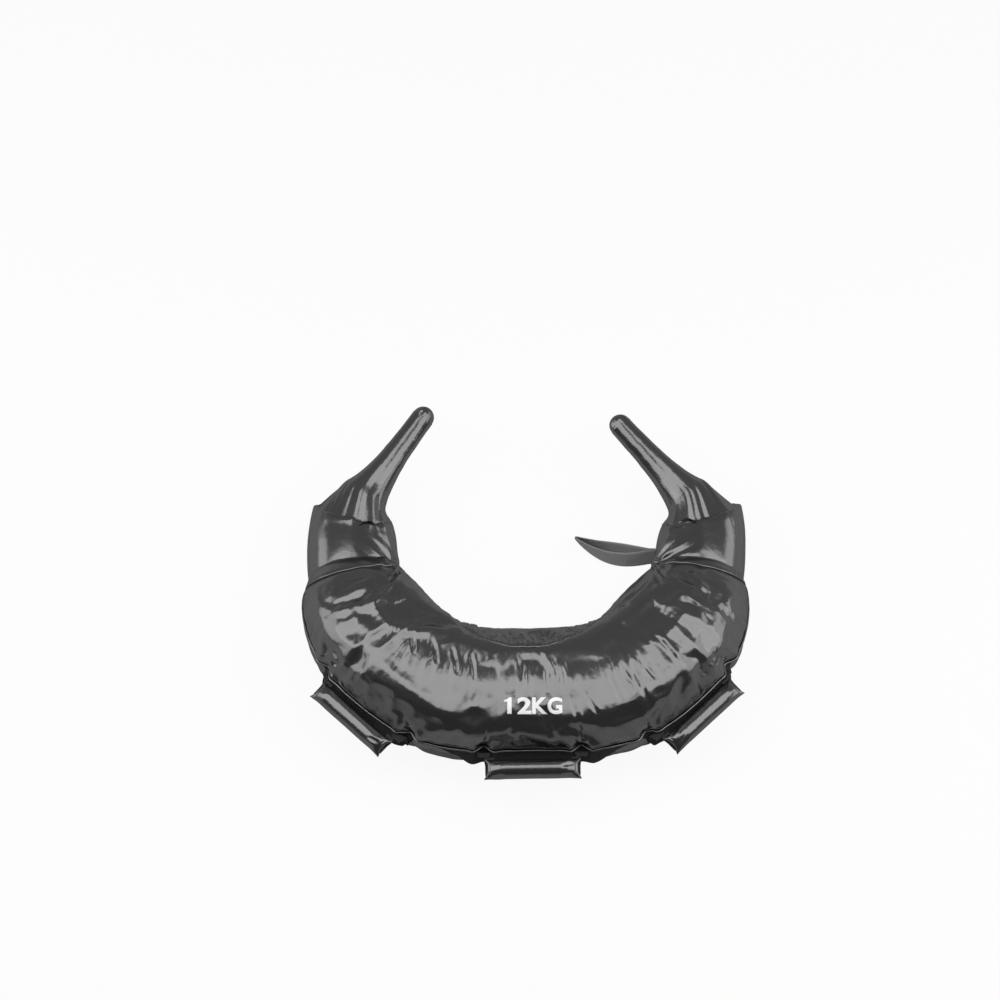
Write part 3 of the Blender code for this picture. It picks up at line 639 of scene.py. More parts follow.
def smoothTube(s, theta, inset=0.0):
    s, theta = np.broadcast_arrays(np.asarray(s, float), np.asarray(theta, float))
    x, y, nx, ny = axisAt(s)
    turn = np.radians(theta)
    out = (halfWidth(s) - inset) * np.cos(turn) - outerDraw(s) * np.maximum(np.cos(turn), 0) ** 2
    up = (halfHeight(s) - inset) * np.sin(turn)
    z = centreHeight(s) + up
    z = inset + 0.5 * (z - inset + np.sqrt((z - inset) ** 2 + bagPlan["settle"] ** 2))
    yaw = np.where(s < 0, bagPlan["neckYaw"][0], bagPlan["neckYaw"][1])
    end = sleeveShare(s) ** 2
    lean = np.where(s < 0, bagPlan["neckLean"][0], -bagPlan["neckLean"][1])
    aside = np.tan(np.radians(yaw)) * np.where(out > 0, bagPlan["neckSquare"], 1.0) * out
    shear = end * (aside - math.tan(math.radians(bagPlan["neckTilt"])) * up)
    return np.stack([x + nx * out + end * lean, y + ny * out + shear + bagPlan["back"], z], -1)


def tubeNormal(s, theta):
    # from the places a small step away along the tube and round it
    step, angle = 0.0005, 0.5
    s, theta = np.broadcast_arrays(np.asarray(s, float), np.asarray(theta, float))
    along = smoothTube(s + step, theta) - smoothTube(s - step, theta)
    around = smoothTube(s, theta + angle) - smoothTube(s, theta - angle)
    normal = unitRows(np.cross(along, around))
    turn = np.radians(theta)
    _, _, nx, ny = axisAt(s)
    outward = (nx * np.cos(turn) * normal[..., 0] + ny * np.cos(turn) * normal[..., 1]
               + np.sin(turn) * normal[..., 2])
    return normal * np.where(outward < 0, -1.0, 1.0)[..., None]


def sectionRadius(s, theta):
    # metres per radian of theta along the section
    turn = np.radians(theta)
    return np.hypot(halfWidth(s) * np.sin(turn), halfHeight(s) * np.cos(turn))


def arcTo(s, theta, seam):
    # signed distance along the section from a seam's angle
    return np.radians(theta - seam) * sectionRadius(s, (theta + seam) / 2)


# Folds and wrinkles of the skin, in mm on the plane that faces the photo's camera
# each fold: points, half width, depth, height of the rim beside it, and which end fades

skinFolds = [
    ([(-172, 76), (-188, 94), (-208, 116)], 3.2, 2.6, 1.9, "end"),
    ([(-174, 84), (-182, 102), (-194, 120)], 2.6, 2.0, 1.5, "end"),
    ([(-176, 73), (-199, 84), (-224, 104)], 3.0, 2.0, 1.6, "end"),
    ([(-172, 69), (-202, 76), (-231, 82)], 2.4, 1.0, 0.7, "end"),
    ([(-176, 68), (-204, 45), (-240, 28), (-270, 27)], 6.0, 2.8, 2.2, "both"),
    ([(-170, 65), (-191, 44), (-215, 20)], 2.4, 2.4, 1.8, "end"),
    ([(-171, 65), (-190, 51), (-208, 37)], 2.0, 1.8, 1.3, "end"),
    ([(-167, 57), (-167, 37), (-170, 17)], 2.4, 1.2, 0.8, "both"),
    ([(175, 80), (202, 94), (232, 110)], 3.4, 2.8, 2.0, "end"),
    ([(174, 84), (187, 100), (196, 110)], 2.4, 2.0, 1.5, "end"),
    ([(172, 77), (204, 85), (239, 89)], 2.6, 1.7, 1.3, "end"),
    ([(171, 75), (188, 59), (204, 47)], 2.4, 1.2, 0.9, "end"),
    ([(199, 68), (220, 53), (239, 36)], 3.6, 2.0, 1.7, "both"),
    ([(167, 71), (178, 52), (183, 31)], 2.8, 1.0, 0.7, "end"),
    ([(166, -14), (183, -29), (202, -54)], 2.8, 1.5, 1.4, "both"),
    ([(158, -54), (166, -65), (174, -77)], 2.6, 1.3, 1.0, "both"),
    ([(139, -45), (148, -70), (158, -101)], 3.0, 1.6, 1.3, "both"),
    ([(123, -47), (135, -70), (146, -89)], 2.6, 1.2, 0.9, "both"),
    ([(106, -59), (117, -81), (125, -102)], 2.6, 1.0, 0.8, "both"),
    ([(57, -91), (66, -118), (74, -152)], 2.6, 1.6, 1.3, "start"),
    ([(78, -89), (86, -105), (95, -119)], 2.4, 1.2, 0.9, "both"),
    ([(-53, -152), (-49, -131), (-52, -107)], 2.6, 1.1, 0.8, "end"),
    ([(-256, -54), (-261, -42), (-271, -14)], 3.0, 0.7, 0.5, "end"),
    ([(-252, -54), (-239, -45), (-231, -22)], 4.0, 0.9, 0.4, "end"),
    ([(-168, -146), (-163, -134), (-164, -115)], 2.8, 1.1, 0.8, "end"),
    ([(252, -54), (260, -38), (266, -22)], 3.0, 1.4, 1.0, "end"),
    ([(248, -54), (239, -42), (233, -25)], 4.0, 0.9, 0.4, "end"),
    ([(168, -143), (162, -128), (156, -110)], 2.8, 1.1, 0.8, "end"),
    ([(-151, -2), (-149, -22), (-150, -38)], 2.2, 0.8, 0.6, "both"),
    ([(-125, -17), (-119, -36), (-118, -51)], 2.2, 0.8, 0.6, "both"),
    ([(-98, -30), (-93, -49), (-92, -65)], 2.2, 0.8, 0.6, "both"),
    ([(-74, -38), (-70, -54), (-69, -73)], 2.2, 0.7, 0.5, "both"),
    ([(-178, 12), (-178, -6), (-182, -25)], 2.4, 0.9, 0.6, "both"),
    ([(26, -54), (26, -70), (28, -86)], 2.0, 0.6, 0.5, "both"),
    ([(45, -49), (49, -67), (50, -89)], 2.2, 0.7, 0.6, "both"),
]

# each dent: place in the same plane, half width, half height and depth
skinDents = [
    (-250, -36, 13, 15, 2.0), (262, -42, 11, 12, 1.8), (-256, 12, 10, 9, 0.9), (205, 26, 12, 8, 0.8),
]

wrinklePlan = {
    # the dips that the seams pull in, the turned-in edge beside the top seam, and the puckers square to them
    "seamDip": 0.0016, "seamWidth": 0.0045, "innerDip": 0.0012, "innerWidth": 0.0035,
    "crossDip": 0.0013, "crossWidth": 0.005, "sleeveWidth": 0.0022,
    "ridge": 0.0008, "ridgePlace": 0.0062, "ridgeWidth": 0.0013,
    "topPucker": 0.0006, "topReach": 0.010, "crossPucker": 0.0007, "crossReach": 0.012,
    "innerPucker": 0.0021, "bandWidth": 0.05, "bandHalf": 0.17, "panelPucker": 0.0005, "panelReach": 0.008,
    # long wrinkles over the shoulder, and the fill's own lumps; both start a little way from the cross seams
    "radial": 0.00062, "radialSpacing": 0.0075, "radialLength": 0.034, "radialStart": 0.03,
    "shoulder": 78, "shoulderWidth": 25,
    "lump": 0.0010, "lumpSpacing": 0.075, "smallLump": (0.031, 0.028), "lumpStart": 0.02,
    # the notches at the grips' anchors, with a rim on both sides of each
    "notchDepth": 0.0078, "notchWidth": 0.0058, "notchReach": 0.013, "notchBelow": 0.02,
    "notchRim": 0.0024, "rimPlace": (0.0112, 0.005), "rimSize": (0.0046, 0.011),
    # the end sleeves: gathers at the mouth, a swelling before it, and how far its upper side sinks
    "lip": 0.0015, "sleeveBulge": 0.0026, "sleeveDrop": 0.0095,
    # how the blown cloth's wrinkles fade beside the cross seams
    "clothStart": 0.02, "clothLess": 0.65, "clothFull": (0.085, 0.05),
}


def anchorPlaces():
    # where the two ends of each grip meet the outer seam
    places = []
    for share, _, _ in bagPlan["grips"].values():
        low, high = 0.05, 0.08
        for _ in range(30):
            half = (low + high) / 2
            ends = [smoothTube(share * crossS + k * half, bagPlan["topSeam"]) for k in (-1, 1)]
            if np.linalg.norm(ends[1] - ends[0]) > bagPlan["gripSpan"]:
                high = half
            else:
                low = half
        places += [share * crossS - half, share * crossS + half]
    return places


gripAnchors = anchorPlaces()


def curvePoints(points, steps):
    # a smooth line through the points
    points = np.asarray(points, float)
    padded = np.vstack([2 * points[0] - points[1], points, 2 * points[-1] - points[-2]])
    line = []
    for k in np.linspace(0, len(points) - 1 - 1e-6, steps):
        i = int(k)
        t = k - i
        a, b, c, d = padded[i:i + 4]
        line.append(0.5 * (2 * b + (c - a) * t + (2 * a - 5 * b + 4 * c - d) * t * t
                           + (3 * b - a - 3 * c + d) * t ** 3))
    return np.array(line)


def foldDepth(places):
    # how far the placed folds move each point along its normal
    flat = places.reshape(-1, 3)
    u = flat[:, 0] * 1000
    v = (flat[:, 1] - bagPlan["back"]) * photoPlane["y"] + flat[:, 2] * photoPlane["z"]
    v = v * 1000 + photoPlane["zero"]
    total = np.zeros(len(flat))
    for points, width, depth, rim, fades in skinFolds:
        line = curvePoints(points, 14)
        reach = 4.5 * width
        near = ((u > line[:, 0].min() - reach) & (u < line[:, 0].max() + reach)
                & (v > line[:, 1].min() - reach) & (v < line[:, 1].max() + reach))
        if not near.any():
            continue
        p = np.stack([u[near], v[near]], -1)
        best = np.full(len(p), 1e9)
        signed = np.zeros(len(p))
        share = np.zeros(len(p))
        count = len(line) - 1
        for k in range(count):
            a, b = line[k], line[k + 1]
            d = b - a
            t = ((p - a) @ d) / (d @ d)
            tc = np.clip(t, 0, 1)
            gap = p - (a + tc[:, None] * d)
            distance = np.hypot(gap[:, 0], gap[:, 1])
            closer = distance < best
            best = np.where(closer, distance, best)
            signed = np.where(closer, np.sign(d[0] * gap[:, 1] - d[1] * gap[:, 0]) * distance, signed)
            share = np.where(closer, (k + tc) / count, share)
        if fades == "both":
            strength = np.sin(np.pi * np.clip(share, 0, 1)) ** 0.7
        elif fades == "end":
            strength = (1 - share) ** 0.8
        else:
            strength = share ** 0.8
        wide = width * (0.75 + 0.6 * share if fades == "end" else 1.0)
        groove = -depth * np.exp(-(signed / wide) ** 2)
        side = rim * (np.exp(-((signed - 1.9 * wide) / (1.1 * wide)) ** 2)
                      + 0.5 * np.exp(-((signed + 1.9 * wide) / (1.2 * wide)) ** 2))
        total[near] += (groove + side) * strength * np.exp(-np.maximum(best - 3.4 * wide, 0) / width)
    for atU, atV, wide, tall, depth in skinDents:
        total -= depth * np.exp(-((u - atU) / wide) ** 2 - ((v - atV) / tall) ** 2)
    return total.reshape(places.shape[:-1]) / 1000


# the crescent's skin as one coarse cloth; the angles bound the side that lies on the floor
skinCloth = {
    "rows": 150, "columns": 96, "slack": 0.035, "cap": 0.004, "share": 0.8, "hold": 0.0035, "endHold": 0.004,
    "first": -50, "floor": (215, 310), "seed": 0.0004, "rounds": 30,
}


def blowSkin():
    # what the cloth moves along its normal is kept as a table, less the general swelling: only wrinkles count
    plan = skinCloth
    s = np.linspace(-crossS, crossS, plan["rows"])[:, None]
    theta = np.linspace(plan["first"], plan["first"] + 360, plan["columns"], endpoint=False)[None, :]
    s, theta = np.broadcast_arrays(s, theta)
    flat = np.where(theta > 250, theta - 360, theta)
    held = np.abs(s) > crossS - plan["endHold"]
    for seam in (bagPlan["topSeam"], bagPlan["bottomSeam"], innerSeam(s)):
        held |= np.abs(arcTo(s, flat, seam)) < plan["hold"]
    held |= (theta > plan["floor"][0]) & (theta < plan["floor"][1])
    smooth = smoothTube(s, theta)
    normal = tubeNormal(s, theta)
    seed = plan["seed"] * (wavy(s, 0.009, 201) + 0.5 * cloudy(s, arcTo(s, flat, 0.0), 0.012, 0.03, 202))
    start = smooth + normal * np.where(held, 0, seed)[..., None]
    made = inflate("skinCloth", start, held, plan["slack"])
    lift = np.where(held, 0, ((made - smooth) * normal).sum(-1))
    wide = lift
    for _ in range(plan["rounds"]):
        wide = (np.roll(wide, 1, 0) + np.roll(wide, -1, 0) + np.roll(wide, 1, 1) + np.roll(wide, -1, 1)
                + wide) / 5
    lift = np.clip(lift - wide, -plan["cap"], plan["cap"]) * plan["share"]
    print("skin wrinkles %.2f to %.2f mm" % (lift.min() * 1000, lift.max() * 1000))
    return lift


def cubicWeight(t):
    # a soft B-spline, so that the coarse cloth shows no facets
    t = np.abs(t)
    return np.where(t < 1, (4 - 6 * t ** 2 + 3 * t ** 3) / 6, np.where(t < 2, (2 - t) ** 3 / 6, 0))


def clothLift(s, theta):
    # reads the table between its rows and columns
    if skinTable is None:
        return 0.0
    rows, columns = skinTable.shape
    row = np.clip((s + crossS) / (2 * crossS), 0, 0.99999) * (rows - 1)
    column = ((theta - skinCloth["first"]) % 360) / 360 * columns
    i = np.floor(row).astype(int)
    j = np.floor(column).astype(int)
    total = 0.0
    for di in range(-1, 3):
        for dj in range(-1, 3):
            weight = cubicWeight(row - i - di) * cubicWeight(column - j - dj)
            total = total + weight * skinTable[np.clip(i + di, 0, rows - 1), (j + dj) % columns]
    return total


def skinRelief(s, theta, places):
    # how far the skin stands out from the smooth tube
    plan = wrinklePlan
    swollen = clothLift(s, theta)
    theta = np.where(theta > 250, theta - 360, theta)
    toTop = arcTo(s, theta, bagPlan["topSeam"])
    toInner = arcTo(s, theta, innerSeam(s))
    toBottom = arcTo(s, theta, bagPlan["bottomSeam"])
    toCross = np.abs(s) - seamPlace(s, theta)
    onBody = toCross < 0
    depth = np.zeros(np.broadcast(s, theta).shape)
    # seams pull the skin in
    for distance in (toTop, toBottom):
        depth -= np.where(onBody, plan["seamDip"], 0) * np.exp(-(distance / plan["seamWidth"]) ** 2)
    depth -= np.where(onBody, plan["innerDip"], 0) * np.exp(-(toInner / plan["innerWidth"]) ** 2)
    width = np.where(onBody, plan["crossWidth"], plan["sleeveWidth"])
    depth -= plan["crossDip"] * np.exp(-(toCross / width) ** 2)
    # the seam's own turned-in edge shows as a second raised line beside it
    beside = (toTop - plan["ridgePlace"]) / plan["ridgeWidth"]
    depth += np.where(onBody, plan["ridge"], 0) * np.exp(-beside ** 2)
    # short puckers that stand square to the seams
    pucker = wavy(s, 0.0052, 3) * 0.6 + wavy(s, 0.011, 5) * 0.6
    run = np.exp(-np.abs(toTop) / plan["topReach"])
    depth += np.where(onBody & (toTop > 0), plan["topPucker"], 0) * pucker * run
    slant = s + 0.40 * toInner + 0.006 * wavy(s, 0.031, 12)
    gathers = (0.5 - 1.3 * np.abs(wavy(slant, 0.0062, 11)) ** 0.8 + wavy(slant, 0.0125, 13) * 0.55
               + 0.35 * cloudy(s, toInner, 0.004, 0.009, 14))
    bandShare = np.exp(-(s / plan["bandHalf"]) ** 4)
    over = np.sin(np.pi * np.clip(toInner / plan["bandWidth"], 0, 1)) ** 0.5
    depth += np.where(onBody & (toInner > 0), plan["innerPucker"], 0) * gathers * bandShare * over
    run = np.exp(toInner / plan["panelReach"])
    depth += np.where(onBody & (toInner <= 0), plan["panelPucker"], 0) * gathers * bandShare * run
    ring = wavy(theta, 9.0, 17) * 0.7 + wavy(theta, 19.0, 19) * 0.7
    depth += plan["crossPucker"] * ring * np.exp(-np.abs(toCross) / plan["crossReach"])
    # long wrinkles across the tube, strongest along its upper shoulder
    shoulder = np.exp(-((theta - plan["shoulder"]) / plan["shoulderWidth"]) ** 2)
    spacing, length = plan["radialSpacing"], plan["radialLength"]
    radial = cloudy(s + 0.15 * toTop, toTop, spacing, length, 23)
    radial = radial + 0.5 * cloudy(s - 0.1 * toTop, toTop, spacing * 0.55, length * 0.6, 29)
    start = smoothStep(-toCross / plan["radialStart"])
    depth += np.where(onBody, plan["radial"], 0) * radial * shoulder * start
    # the fill's own lumps
    away = smoothStep(np.abs(toCross) / plan["lumpStart"])
    depth += plan["lump"] * cloudy(s, toTop, plan["lumpSpacing"], plan["lumpSpacing"], 31) * away
    depth += plan["lump"] * 0.45 * cloudy(s, toTop, *plan["smallLump"], 37) * away
    # the grips' anchors draw the skin into notches
    rimAlong, rimUp = plan["rimPlace"]
    rimHalf, rimTall = plan["rimSize"]
    for anchor in gripAnchors:
        across = (s - anchor) / plan["notchWidth"]
        down = np.where(toTop > 0, toTop / plan["notchReach"], toTop / plan["notchBelow"])
        depth -= plan["notchDepth"] * np.exp(-across ** 2 - down ** 2)
        for side in (-1, 1):
            beside = (s - anchor - side * rimAlong) / rimHalf
            depth += plan["notchRim"] * np.exp(-beside ** 2 - ((toTop - rimUp) / rimTall) ** 2)
    # gathers towards the mouth of each sleeve
    mouth = sleeveShare(s)
    lip = wavy(theta, 8.0, 41) * 0.6 + wavy(theta, 15.0, 43) * 0.8
    depth += plan["lip"] * lip * mouth ** 3 * (mouth > 0)
    over = np.maximum(np.sin(np.radians(theta)), 0) ** 1.5
    bulge = plan["sleeveBulge"] * np.sin(np.pi * mouth ** 0.8)
    depth += (bulge - plan["sleeveDrop"] * smoothStep(mouth * 1.25)) * over
    upper = smoothStep((np.sin(np.radians(theta)) + 0.25) / 0.3)
    full, fade = plan["clothFull"]
    kept = smoothStep(-toCross / plan["clothStart"])
    kept = kept * (1 - plan["clothLess"] * smoothStep((full + toCross) / fade))
    return depth + foldDepth(places) * upper + swollen * kept


skinTable = blowSkin()


def skinAt(s, theta, lift=0.0):
    s, theta = np.broadcast_arrays(np.asarray(s, float), np.asarray(theta, float))
    places = smoothTube(s, theta)
    normal = tubeNormal(s, theta)
    moved = places + normal * (skinRelief(s, theta, places) + lift)[..., None]
    moved[..., 2] = np.maximum(moved[..., 2], 0.0003)       # nothing goes below the floor
    return moved


panelPlan = {"step": 0.0013, "seamRoom": 0.0012, "crossRoom": 0.0008, "join": 0.0002, "wall": 0.0013}


def panelGrid(startTheta, endTheta, startRoom, endRoom, step, across, crowd):
    # rows from one cross seam to the other, between two seams that are angles or functions of s
    edge = crossS - panelPlan["crossRoom"]
    count = int(round(2 * edge / step)) + 1
    s = np.linspace(-edge, edge, count)[:, None]
    start, end = (np.broadcast_to(theta(s) if callable(theta) else theta, s.shape)
                  for theta in (startTheta, endTheta))
    start = start + np.degrees(startRoom / sectionRadius(s, start))
    end = end - np.degrees(endRoom / sectionRadius(s, end))
    share = np.linspace(0, 1, across)[None, :]
    share = share * (1 - crowd) + share ** 2 * crowd        # closer rows beside the first seam
    theta = start + (end - start) * share
    # the rows near each end follow the cross seam
    limit = seamPlace(s + 0 * theta, theta) - panelPlan["crossRoom"]
    run = np.abs(s)
    near = smoothStep((run - 0.75 * edge) / (0.25 * edge))
    return np.sign(s) * (run - near * (edge - limit)), theta


def buildPanels():
    room = panelPlan["seamRoom"]
    join = panelPlan["join"]
    fine = panelPlan["step"]
    top = bagPlan["topSeam"]
    bottom = bagPlan["bottomSeam"]
    # the two seams, the room beside each, the step along, the rows across, their crowding to the first seam
    rows = [
        ("topPanel", "top_panel", top, innerSeam, room, join, fine, 190, 0.5),
        ("innerBand", "inner_band", innerSeam, bagPlan["innerLow"], join, join, fine, 84, 0.0),
        ("bottomPanel", "bottom_panel", bagPlan["innerLow"], bottom + 360, join, room, 0.004, 40, 0.0),
        ("outerGusset", "outer_gusset", bottom + 360, top + 360, room, room, 0.002, 44, 0.0),
    ]
    made = {}
    for name, node, *grid in rows:
        s, theta = panelGrid(*grid)
        piece = addSheetPiece(name, skinAt(s, theta), polishedLeather, panelPlan["wall"])
        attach(piece, "bag")
        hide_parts(node)
        made[name] = piece
        print("panel", name, len(piece.data.vertices))
    return made


pipingPlan = {
    "radius": 0.0015, "lift": 0.0017, "step": 0.0015, "weltRadius": 0.0016, "weltLift": 0.0006, "sides": 10,
}


def buildPiping():
    plan = pipingPlan
    low, high = (crossS - back - 0.0015 for back in bagPlan["seamBack"])
    s = np.linspace(-low, high, int((low + high) / plan["step"]))
    for name, node, theta in (("topPiping", "top_piping", bagPlan["topSeam"]),
                              ("bottomPiping", "bottom_piping", bagPlan["bottomSeam"])):
        turn = np.full(s.shape, theta)
        points = skinAt(s, turn, plan["lift"])
        radius = plan["radius"] * (1 + 0.06 * wavy(s, 0.004, 51))
        piece = addTube(name, tubeRows(points, tubeNormal(s, turn), radius, plan["sides"]), edgeLeather)
        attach(piece, "bag")
        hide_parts(node)
    theta = np.linspace(0, 360, 220, endpoint=False)
    for name, node, side in (("leftCrossSeam", "left_cross_seam", -1),
                             ("rightCrossSeam", "right_cross_seam", 1)):
        s = side * seamPlace(side + 0 * theta, theta)
        points = skinAt(s, theta, plan["weltLift"])
        points[:, 2] = np.maximum(points[:, 2], plan["weltRadius"])
        rows = tubeRows(points, tubeNormal(s, theta), plan["weltRadius"], plan["sides"], True)
        piece = addTube(name, rows, edgeLeather, True)
        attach(piece, "bag")
        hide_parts(node)
    print("piping and cross seams ready")


# the leather turns in at the mouth: the hem's radius, how much it wavers, and the steps it runs back inside
sleevePlan = {"rows": 84, "sides": 240, "curl": 0.0030, "waver": 0.0007, "inside": (0.004, 0.008, 0.012)}


def buildSleeves():
    plan = sleevePlan
    for side, sign in (("left", -1), ("right", 1)):
        theta = np.linspace(0, 360, plan["sides"], endpoint=False)[None, :]
        start = seamPlace(float(sign) + 0 * theta, theta) + panelPlan["crossRoom"]
        s = sign * (start + (neckS - start) * np.linspace(0, 1, plan["rows"])[:, None])
        outer = skinAt(s, theta)
        rim = outer[-1]
        inward = unitRows(rim.mean(0) - rim)
        back = unitRows(outer[-6] - rim)
        curl = plan["curl"] + plan["waver"] * wavy(theta[0], 7.0, 47)[:, None]
        hem = [rim + inward * curl * (1 - math.cos(angle)) - back * curl * math.sin(angle)
               for angle in np.radians([15, 32, 50, 70, 90, 112, 136, 160, 180])]
        inner = [rim + inward * 2 * curl + back * run for run in plan["inside"]]
        rows = np.concatenate([outer, np.array(hem), np.array(inner)])
        piece = addPiece(side + "EndSleeve", rows, gridFaces(len(rows), plan["sides"], False, True),
                         polishedLeather)
        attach(piece, "bag")
        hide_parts(side + "_end_sleeve")
    print("end sleeves ready")


# Horns: gathered leather cones that bend where they leave the sleeves

hornPlan = {
    "length": 0.174, "tip": 0.0145, "flare": 0.0405, "power": 1.05, "rise": 10.5,
    "yaw": {"left": 36.0, "right": 43.0}, "base": 0.0498, "join": 0.030, "bendEnd": 0.055,
    "rows": 150, "tipRows": 22, "tipRun": 0.014, "sides": 160,
    # gathers where the leather is drawn into the sleeve, and smaller ones at the tip
    "gather": 0.0026, "gatherReach": 0.026, "tipGather": 0.0006, "seamDip": 0.0009,
    "stuffing": -0.0046,
}


def hornAxes(side):
    sign = -1 if side == "left" else 1
    yaw = math.radians(hornPlan["yaw"][side])
    rise = math.radians(hornPlan["rise"])
    lean = bagPlan["neckLean"][0] if side == "left" else -bagPlan["neckLean"][1]
    centre = np.array([sign * bagPlan["halfSpan"] + lean, bagPlan["neckBack"] + bagPlan["back"],
                       bagPlan["neckHeight"]])
    along = np.array([-sign * math.sin(yaw) * math.cos(rise), math.cos(yaw) * math.cos(rise), math.sin(rise)])
    across = unitRows(np.cross(along, np.array([0.0, 0.0, 1.0])))
    return sign, centre, along, across, np.cross(across, along)


def hornRadius(h):
    tip = hornPlan["tip"]
    body = tip + (hornPlan["base"] - tip) * np.exp(-(np.maximum(h, 0) / hornPlan["flare"]) ** hornPlan["power"])
    shoulder = hornPlan["length"] - tip
    cap = np.sqrt(np.maximum(tip ** 2 - np.maximum(h - shoulder, 0) ** 2, 0))
    return np.where(h > shoulder, np.minimum(cap, body), body)


def hornSurface(side, h, theta, lift):
    # starts as the inside of the sleeve's mouth and turns into the horn's own cone
    sign, centre, along, across, over = hornAxes(side)
    turn = np.radians(theta if sign > 0 else 180 - theta)
    radius = hornRadius(h) + lift
    outward = np.cos(turn)[..., None] * across + np.sin(turn)[..., None] * over
    place = centre + along * h[..., None] + radius[..., None] * outward
    start = np.full(h.shape, sign * (neckS - 0.002))
    drop = wrinklePlan["sleeveDrop"] * np.maximum(np.sin(np.radians(theta)), 0) ** 1.5
    mouth = smoothTube(start, theta, 0.0024) - tubeNormal(start, theta) * drop[..., None]
    mouth = mouth + along * (h * 0.8)[..., None] - (hornPlan["base"] - radius)[..., None] * 0.6 * outward
    weight = smoothStep(h / hornPlan["join"])[..., None]
    return mouth * (1 - weight) + place * weight


def hornLift(side, h, theta):
    # gathers and folds of the cover, in metres along its normal
    plan = hornPlan
    seed = 60 if side == "left" else 80
    lines = wavy(theta + 60 * h, 9.0, seed) * 0.6 + wavy(theta - 90 * h, 17.0, seed + 1) * 0.9
    lines = lines - 0.8 * np.abs(wavy(theta + 140 * h, 13.0, seed + 5)) ** 0.7
    base = np.exp(-(h / plan["gatherReach"]) ** 1.6)
    depth = plan["gather"] * lines * base * smoothStep((h + 0.004) / 0.008)
    depth = (depth + 0.00016 * cloudy(theta, h * 1000, 30.0, 30.0, seed + 2)
             + 0.0003 * cloudy(theta, h * 1000, 90.0, 11.0, seed + 3))
    tip = np.exp(-((h - plan["length"] + 0.010) / 0.008) ** 2)
    depth = depth + plan["tipGather"] * wavy(theta, 17.0, seed + 4) * tip
    # the cover's own seam runs along its underside
    seam = np.exp(-(((theta - 255 + 180) % 360 - 180) / 5.0) ** 2)
    return depth - plan["seamDip"] * seam


def buildHorns():
    plan = hornPlan
    covers = []
    for side in ("left", "right"):
        length = plan["length"]
        run = plan["tipRun"]
        k = np.linspace(0, 1, plan["rows"])
        cap = length - run + run * np.sin(np.linspace(0, np.pi / 2, plan["tipRows"]))
        h = np.concatenate([k[:-1] * (length - run), cap])[:, None]
        h[-1] = length - 0.00002
        theta = np.linspace(0, 360, plan["sides"], endpoint=False)[None, :]
        h, theta = np.broadcast_arrays(h, theta)
        rows = hornSurface(side, h, theta, hornLift(side, h, theta) * np.clip((length - h) / 0.004, 0, 1))
        count, sides = rows.shape[:2]
        faces = gridFaces(count, sides, False, True)
        faces.append(tuple((count - 1) * sides + i for i in range(sides)))
        piece = addPiece(side + "HornCover", rows, faces, polishedLeather)
        covers.append(piece)
        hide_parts(side + "_horn_cover")
        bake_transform(piece)

        h = np.linspace(0.001, length - 0.006, 40)[:, None]
        theta = np.linspace(0, 360, 48, endpoint=False)[None, :]
        h, theta = np.broadcast_arrays(h, theta)
        lift = plan["stuffing"] + 0.0006 * cloudy(theta, h * 1000, 25.0, 12.0, 90)
        core = addTube(side + "HornStuffing", hornSurface(side, h, theta, lift), fibreWadding)
        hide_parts(side + "_horn_core")
        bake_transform(core)
    lightHorns(covers)
    print("horns ready")


# Grips: leather rolls with sewn-flat ends

gripPlan = {
    "span": bagPlan["gripSpan"], "radius": 0.013,
    "lever": {"left": 0.0172, "centre": 0.0152, "right": 0.0165},
    "droop": 15.0, "fullHalf": 0.036, "endHalf": 0.0128, "endThick": 0.0014, "margin": 0.0022, "ear": 0.0024,
    "rows": 170, "sides": 96,
    # relief: soft unevenness, gathers that run in from the sewn ends, the long seam, the stitched row
    "uneven": 0.0003, "gather": 0.0009, "seamDip": 0.0010, "rowDip": 0.0006, "thinnest": 0.0011,
    "coreHalf": 0.0415, "coreInset": 0.0030, "slot": 0.0085,
}


def gripAxes(side):
    joint = next(j for j in frame["joints"] if j["name"] == side + "_grip_swing")
    along = unitRows(np.array(joint["axis"], float))
    pivot = np.array(joint["pos_m"], float)
    if along[0] < 0:
        along = -along
    out = unitRows(np.cross(along, np.array([0.0, 0.0, 1.0])))
    return pivot, along, out


def gripPlace(side, x, reach, lift):
    # along the roll, away from the bag and up its thickness
    pivot, along, out = gripAxes(side)
    up = np.array([0.0, 0.0, 1.0])
    droop = math.radians(gripPlan["droop"])
    radial = math.cos(droop) * out - math.sin(droop) * up
    square = math.sin(droop) * out + math.cos(droop) * up
    x, reach, lift = (np.asarray(value)[..., None] for value in (x, reach, lift))
    return pivot + x * along + reach * radial + lift * square


def gripSection(x):
    # half width and half thickness, and how far the roll has flattened towards its end
    plan = gripPlan
    flatRun = plan["span"] / 2 - plan["margin"] - plan["fullHalf"]
    share = np.clip((np.abs(x) - plan["fullHalf"]) / flatRun, 0, 1)
    half = plan["radius"] + (plan["endHalf"] - plan["radius"]) * share
    thick = plan["endThick"] + (plan["radius"] - plan["endThick"]) * np.sqrt(np.maximum(1 - share ** 2.1, 0))
    return half, thick, share


